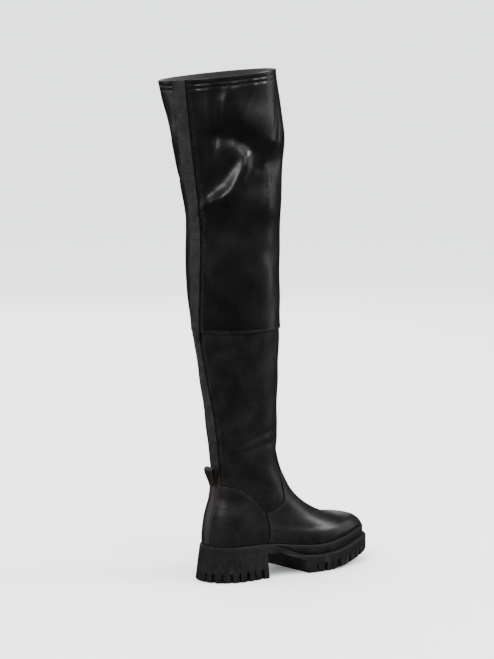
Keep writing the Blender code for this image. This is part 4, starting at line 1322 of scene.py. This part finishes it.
def make_finish(name, colours, mottle, rough, reliefs, worn, dust, numbers):
    """Mottled surface, worn at its edges, dusty near the floor, with its patterns as relief."""
    made = bpy.data.materials.new(name)
    made.use_nodes = True
    tree = made.node_tree
    tree.nodes.clear()
    place = add(tree, "ShaderNodeTexCoord").outputs["Object"]
    share = ranged(tree, noise(tree, place, 1000 / mottle, 4.0, 0.6), *MOTTLING, 0.0, 1.0)
    lighter = colours[1]
    if not lighter.startswith("#"):
        lighter = tuple(getattr(bpy.context.scene.finish_look, lighter))
    tone = mixed(tree, share, colours[0], lighter)
    edges = add(tree, "ShaderNodeNewGeometry").outputs["Pointiness"]
    low, high, most = WORN
    rubbed = math_node(tree, "MULTIPLY", ranged(tree, edges, low, high, 0.0, most), share)
    tone = mixed(tree, rubbed, tone, worn)
    gloss = ranged(tree, share, 0.0, 1.0, *rough)
    if dust:
        colour, most = dust
        height = add(tree, "ShaderNodeSeparateXYZ", {"Vector": place}).outputs["Z"]
        low = ranged(tree, height, DUST_HEIGHT, 0.0, 0.0, most)
        flecks = ranged(tree, noise(tree, place, DUST_SCALE, 6.0, 0.7), *DUST_FLECKS, 0.0, 1.0)
        dusty = math_node(tree, "MULTIPLY", low, flecks)
        tone = mixed(tree, dusty, tone, colour)
        gloss = math_node(tree, "MULTIPLY_ADD", dusty, DUST_ROUGH, gloss)
    normal = None
    for kind, size, rise in reliefs:
        shape, settings, output, period = RELIEFS[kind]
        scaled = add(tree, "ShaderNodeMapping", {"Vector": place, "Scale": [1000 / side for side in size]})
        pattern = add(tree, shape, {"Vector": scaled.outputs["Vector"], "Scale": period}, **settings)
        inputs = {"Height": pattern.outputs[output], "Strength": 1.0, "Distance": rise / 1000}
        if normal:
            inputs["Normal"] = normal
        normal = add(tree, "ShaderNodeBump", inputs).outputs["Normal"]
    inputs = {"Base Color": tone, "Roughness": gloss, "Normal": normal, **numbers}
    shader = add(tree, "ShaderNodeBsdfPrincipled", inputs)
    add(tree, "ShaderNodeOutputMaterial", {"Surface": shader.outputs["BSDF"]})
    return made


def noise(tree, place, scale, detail, rough):
    """Noise over the piece, with its scale a metre."""
    inputs = {"Vector": place, "Scale": scale, "Detail": detail, "Roughness": rough}
    return add(tree, "ShaderNodeTexNoise", inputs).outputs["Fac"]


def math_node(tree, operation, *values):
    """The result of one operation on values or other nodes' outputs."""
    made = add(tree, "ShaderNodeMath", dict(enumerate(values)), operation=operation)
    return made.outputs["Value"]


def ranged(tree, value, low, high, start, end):
    """A value's range mapped to another, clamped."""
    ends = {"From Min": low, "From Max": high, "To Min": start, "To Max": end}
    return add(tree, "ShaderNodeMapRange", {"Value": value, **ends}).outputs["Result"]


def mixed(tree, share, first, second):
    """Two colours mixed; each is an sRGB hex, a linear colour or another node's output."""
    sides = [linear(side) if isinstance(side, str) else side for side in (first, second)]
    sides = [(*side, 1.0) if isinstance(side, tuple) else side for side in sides]
    return add(tree, "ShaderNodeMix", {0: share, 6: sides[0], 7: sides[1]}, data_type="RGBA").outputs[2]


def length(name, default, description):
    return bpy.props.FloatProperty(name=name, description=description, default=default, subtype="DISTANCE")


def colour(name, default, description):
    default = linear(default)
    return bpy.props.FloatVectorProperty(name=name, description=description, default=default, subtype="COLOR")


def amount(name, default, description):
    return bpy.props.FloatProperty(name=name, description=description, default=default, min=0.0)


class BootLook(bpy.types.PropertyGroup):
    slack: length("Slack", 0.0004, "Depth of the leather's broad unevenness")
    rib_pitch: length("Rib pitch", 0.0024, "Distance between the ribs of the elastic")
    rib_height: length("Rib height", 0.0004, "Height of the elastic's ribs")
    stitch_pitch: length("Stitch pitch", 0.0032, "Distance from stitch to stitch")
    stitch_length: length("Stitch length", 0.0026, "Length of thread that shows")
    thread: length("Thread", 0.0007, "Thickness of the sewing thread")
    tooth_pitch: length("Tooth pitch", 0.0016, "Distance between the zip's teeth")


class FinishLook(bpy.types.PropertyGroup):
    calf: colour("Calf leather", "#110d0d", "Lighter tone of foot and lower leg")
    stretch: colour("Stretch leather", "#080708", "Lighter tone of the thigh panel")
    strap: colour("Strap leather", "#1b1410", "Lighter tone of loop and heel strap")
    elastic: colour("Elastic", "#1b1512", "Lighter tone of the back strip")
    rubber: colour("Rubber", "#0b0a0a", "Lighter tone of the outsole")


class StudioLook(bpy.types.PropertyGroup):
    surround: amount("Surround", 3.1, "Brightness of the room on floor and camera")
    reflected: amount("Reflected room", 0.05, "Brightness of the room in reflections")
    lamps: amount("Lamps", 0.8, "Share of the softboxes' power")


# Softboxes: name, degrees from the camera's own side, height, distance, width and height of the
# panel, all in metres, and power in watts
LAMPS = (
    ("high front softbox", 36, 1.90, 2.2, 1.0, 0.6, 15),
    ("high side softbox", 91, 1.84, 2.1, 1.1, 0.8, 62),
    ("high heel softbox", -30, 1.85, 2.2, 1.0, 1.2, 38),
    ("toe side softbox", 108, 0.95, 2.5, 0.7, 2.2, 9),
    ("heel side softbox", -100, 1.00, 2.4, 0.8, 2.2, 16),
    ("top softbox", -10, 2.90, 0.6, 1.2, 1.2, 24),
    ("far softbox", 190, 1.30, 2.6, 1.8, 1.8, 34),
)


def make_stage():
    """Floor, room light, softboxes and the photograph's camera."""
    look = bpy.context.scene.studio_look
    bm = bmesh.new()
    bmesh.ops.create_circle(bm, cap_ends=True, segments=96, radius=FLOOR_RADIUS)
    mesh = bpy.data.meshes.new("floor")
    bm.to_mesh(mesh)
    bm.free()
    paper = bpy.data.materials.new("matt paper floor")
    paper.use_nodes = True
    shader = paper.node_tree.nodes["Principled BSDF"]
    shader.inputs["Base Color"].default_value = (*linear(PAPER), 1.0)
    shader.inputs["Roughness"].default_value = 0.9
    shader.inputs["Specular IOR Level"].default_value = 0.2
    mesh.materials.append(paper)
    floor = placed("floor", mesh)
    # a hair under the tread, so that the two faces don't lie in one plane
    floor.location.z = -0.0002
    floor.visible_glossy = False

    world = bpy.data.worlds.new("studio")
    world.use_nodes = True
    tree = world.node_tree
    tree.nodes.clear()
    ray = add(tree, "ShaderNodeLightPath")
    strength = ranged(tree, ray.outputs["Is Glossy Ray"], 0.0, 1.0, look.surround, look.reflected)
    sky = add(tree, "ShaderNodeBackground", {"Color": (*linear("#f4f6f8"), 1.0), "Strength": strength})
    add(tree, "ShaderNodeOutputWorld", {"Surface": sky.outputs["Background"]})
    bpy.context.scene.world = world

    middle = Vector(AIM)
    for name, turn, height, distance, width, tall, power in LAMPS:
        lamp = bpy.data.lights.new(name, "AREA")
        lamp.shape = "RECTANGLE"
        lamp.size = width
        lamp.size_y = tall
        lamp.energy = power * look.lamps
        made = placed(name, lamp)
        angle = math.radians(CAMERA_TURN + turn)
        away = Vector((math.sin(angle) * distance, -math.cos(angle) * distance, height - middle.z))
        made.location = middle + away
        made.rotation_euler = (middle - made.location).to_track_quat("-Z", "Y").to_euler()
        made.visible_camera = False

    lens = bpy.data.cameras.new("camera")
    lens.sensor_width = 36.0
    lens.lens = PIXELS_A_METRE * CAMERA_DISTANCE / PHOTO_HEIGHT * lens.sensor_width
    lens.shift_x = (PHOTO_WIDTH / 2 - AIM_PIXEL[0]) / PHOTO_HEIGHT
    lens.shift_y = (AIM_PIXEL[1] - PHOTO_HEIGHT / 2) / PHOTO_HEIGHT
    lens.clip_end = 2 * FLOOR_RADIUS
    camera = placed("camera", lens)
    turn, tilt = math.radians(CAMERA_TURN), math.radians(CAMERA_TILT)
    away = Vector((math.sin(turn) * math.cos(tilt), -math.cos(turn) * math.cos(tilt), math.sin(tilt)))
    camera.location = middle + away * CAMERA_DISTANCE
    camera.rotation_euler = (-away).to_track_quat("-Z", "Y").to_euler()
    bpy.context.scene.camera = camera


class BOOT_OT_upper(bpy.types.Operator):
    """Foot and lower leg, creased at the ankle"""
    bl_idname = "boot.upper"
    bl_label = "Lower leg and foot"

    def execute(self, context):
        make_upper(finish_named("satin calf leather"), finish_named("textile lining"))
        return {"FINISHED"}


class BOOT_OT_thigh(bpy.types.Operator):
    """Slack stretch panel of the thigh"""
    bl_idname = "boot.thigh"
    bl_label = "Thigh panel"

    def execute(self, context):
        make_thigh(finish_named("coated stretch leather"), finish_named("textile lining"))
        return {"FINISHED"}


class BOOT_OT_overlays(bpy.types.Operator):
    """Counter, vamp and the strap over the heel"""
    bl_idname = "boot.overlays"
    bl_label = "Counter and vamp"

    def execute(self, context):
        leather = finish_named("satin calf leather")
        counter = overlay("counter_leather", counter_outline(), np.linspace(-0.04, 0.54, 320), ANKLE, leather)
        vamp = overlay("vamp_leather", vamp_outline(), np.linspace(0.40, 1.10, 420), ANKLE + 2, leather)
        for made, node in ((counter, "counter"), (vamp, "vamp")):
            stand_for(made, node)
        heel_stay(finish_named("waxed strap leather"))
        return {"FINISHED"}


class BOOT_OT_back(bpy.types.Operator):
    """Ribbed elastic up the back and the folded loop at its foot"""
    bl_idname = "boot.back"
    bl_label = "Back strip and pull loop"

    def execute(self, context):
        make_back_strip(finish_named("ribbed elastic"))
        make_pull_loop(finish_named("waxed strap leather"))
        return {"FINISHED"}


class BOOT_OT_sole(bpy.types.Operator):
    """Notched outsole, side band and footbed"""
    bl_idname = "boot.sole"
    bl_label = "Sole"

    def execute(self, context):
        make_sole(finish_named("moulded rubber"), finish_named("buffed rubber band"))
        refinish("insole", finish_named("textile lining"))
        return {"FINISHED"}


class BOOT_OT_zip(bpy.types.Operator):
    """Side zip: woven tape, teeth, slider and pull"""
    bl_idname = "boot.zip"
    bl_label = "Side zip"

    def execute(self, context):
        make_zip(finish_named("woven zip tape"), finish_named("polished nickel"))
        return {"FINISHED"}


class BOOT_OT_stitching(bpy.types.Operator):
    """Thread of every visible seam"""
    bl_idname = "boot.stitching"
    bl_label = "Stitching"

    def execute(self, context):
        make_stitching(finish_named("black sewing thread"))
        return {"FINISHED"}


class BOOT_OT_stage(bpy.types.Operator):
    """Paper floor, softboxes and the photograph's camera"""
    bl_idname = "boot.stage"
    bl_label = "Studio and camera"

    def execute(self, context):
        make_stage()
        return {"FINISHED"}


STEPS = (
    BOOT_OT_upper, BOOT_OT_thigh, BOOT_OT_overlays, BOOT_OT_back,
    BOOT_OT_sole, BOOT_OT_zip, BOOT_OT_stitching, BOOT_OT_stage,
)


class BOOT_PT_look(bpy.types.Panel):
    """Sizes of the details and a button for each group of pieces"""
    bl_label = "Thigh high boot"
    bl_space_type = "VIEW_3D"
    bl_region_type = "UI"
    bl_category = "Boot"

    def draw(self, context):
        scene = context.scene
        for look in (scene.boot_look, scene.finish_look, scene.studio_look):
            for name in look.bl_rna.properties.keys():
                if name not in ("name", "rna_type"):
                    self.layout.prop(look, name)
        for step in STEPS:
            self.layout.operator(step.bl_idname)


CLASSES = (BootLook, FinishLook, StudioLook, *STEPS, BOOT_PT_look)


def register():
    for made in CLASSES:
        bpy.utils.register_class(made)
    bpy.types.Scene.boot_look = bpy.props.PointerProperty(type=BootLook)
    bpy.types.Scene.finish_look = bpy.props.PointerProperty(type=FinishLook)
    bpy.types.Scene.studio_look = bpy.props.PointerProperty(type=StudioLook)


def unregister():
    del bpy.types.Scene.studio_look
    del bpy.types.Scene.finish_look
    del bpy.types.Scene.boot_look
    for made in reversed(CLASSES):
        bpy.utils.unregister_class(made)


def main():
    register()
    bpy.ops.boot.upper()
    bpy.ops.boot.thigh()
    bpy.ops.boot.overlays()
    bpy.ops.boot.back()
    bpy.ops.boot.sole()
    bpy.ops.boot.zip()
    bpy.ops.boot.stitching()
    bpy.ops.boot.stage()


if __name__ == "__main__":
    main()
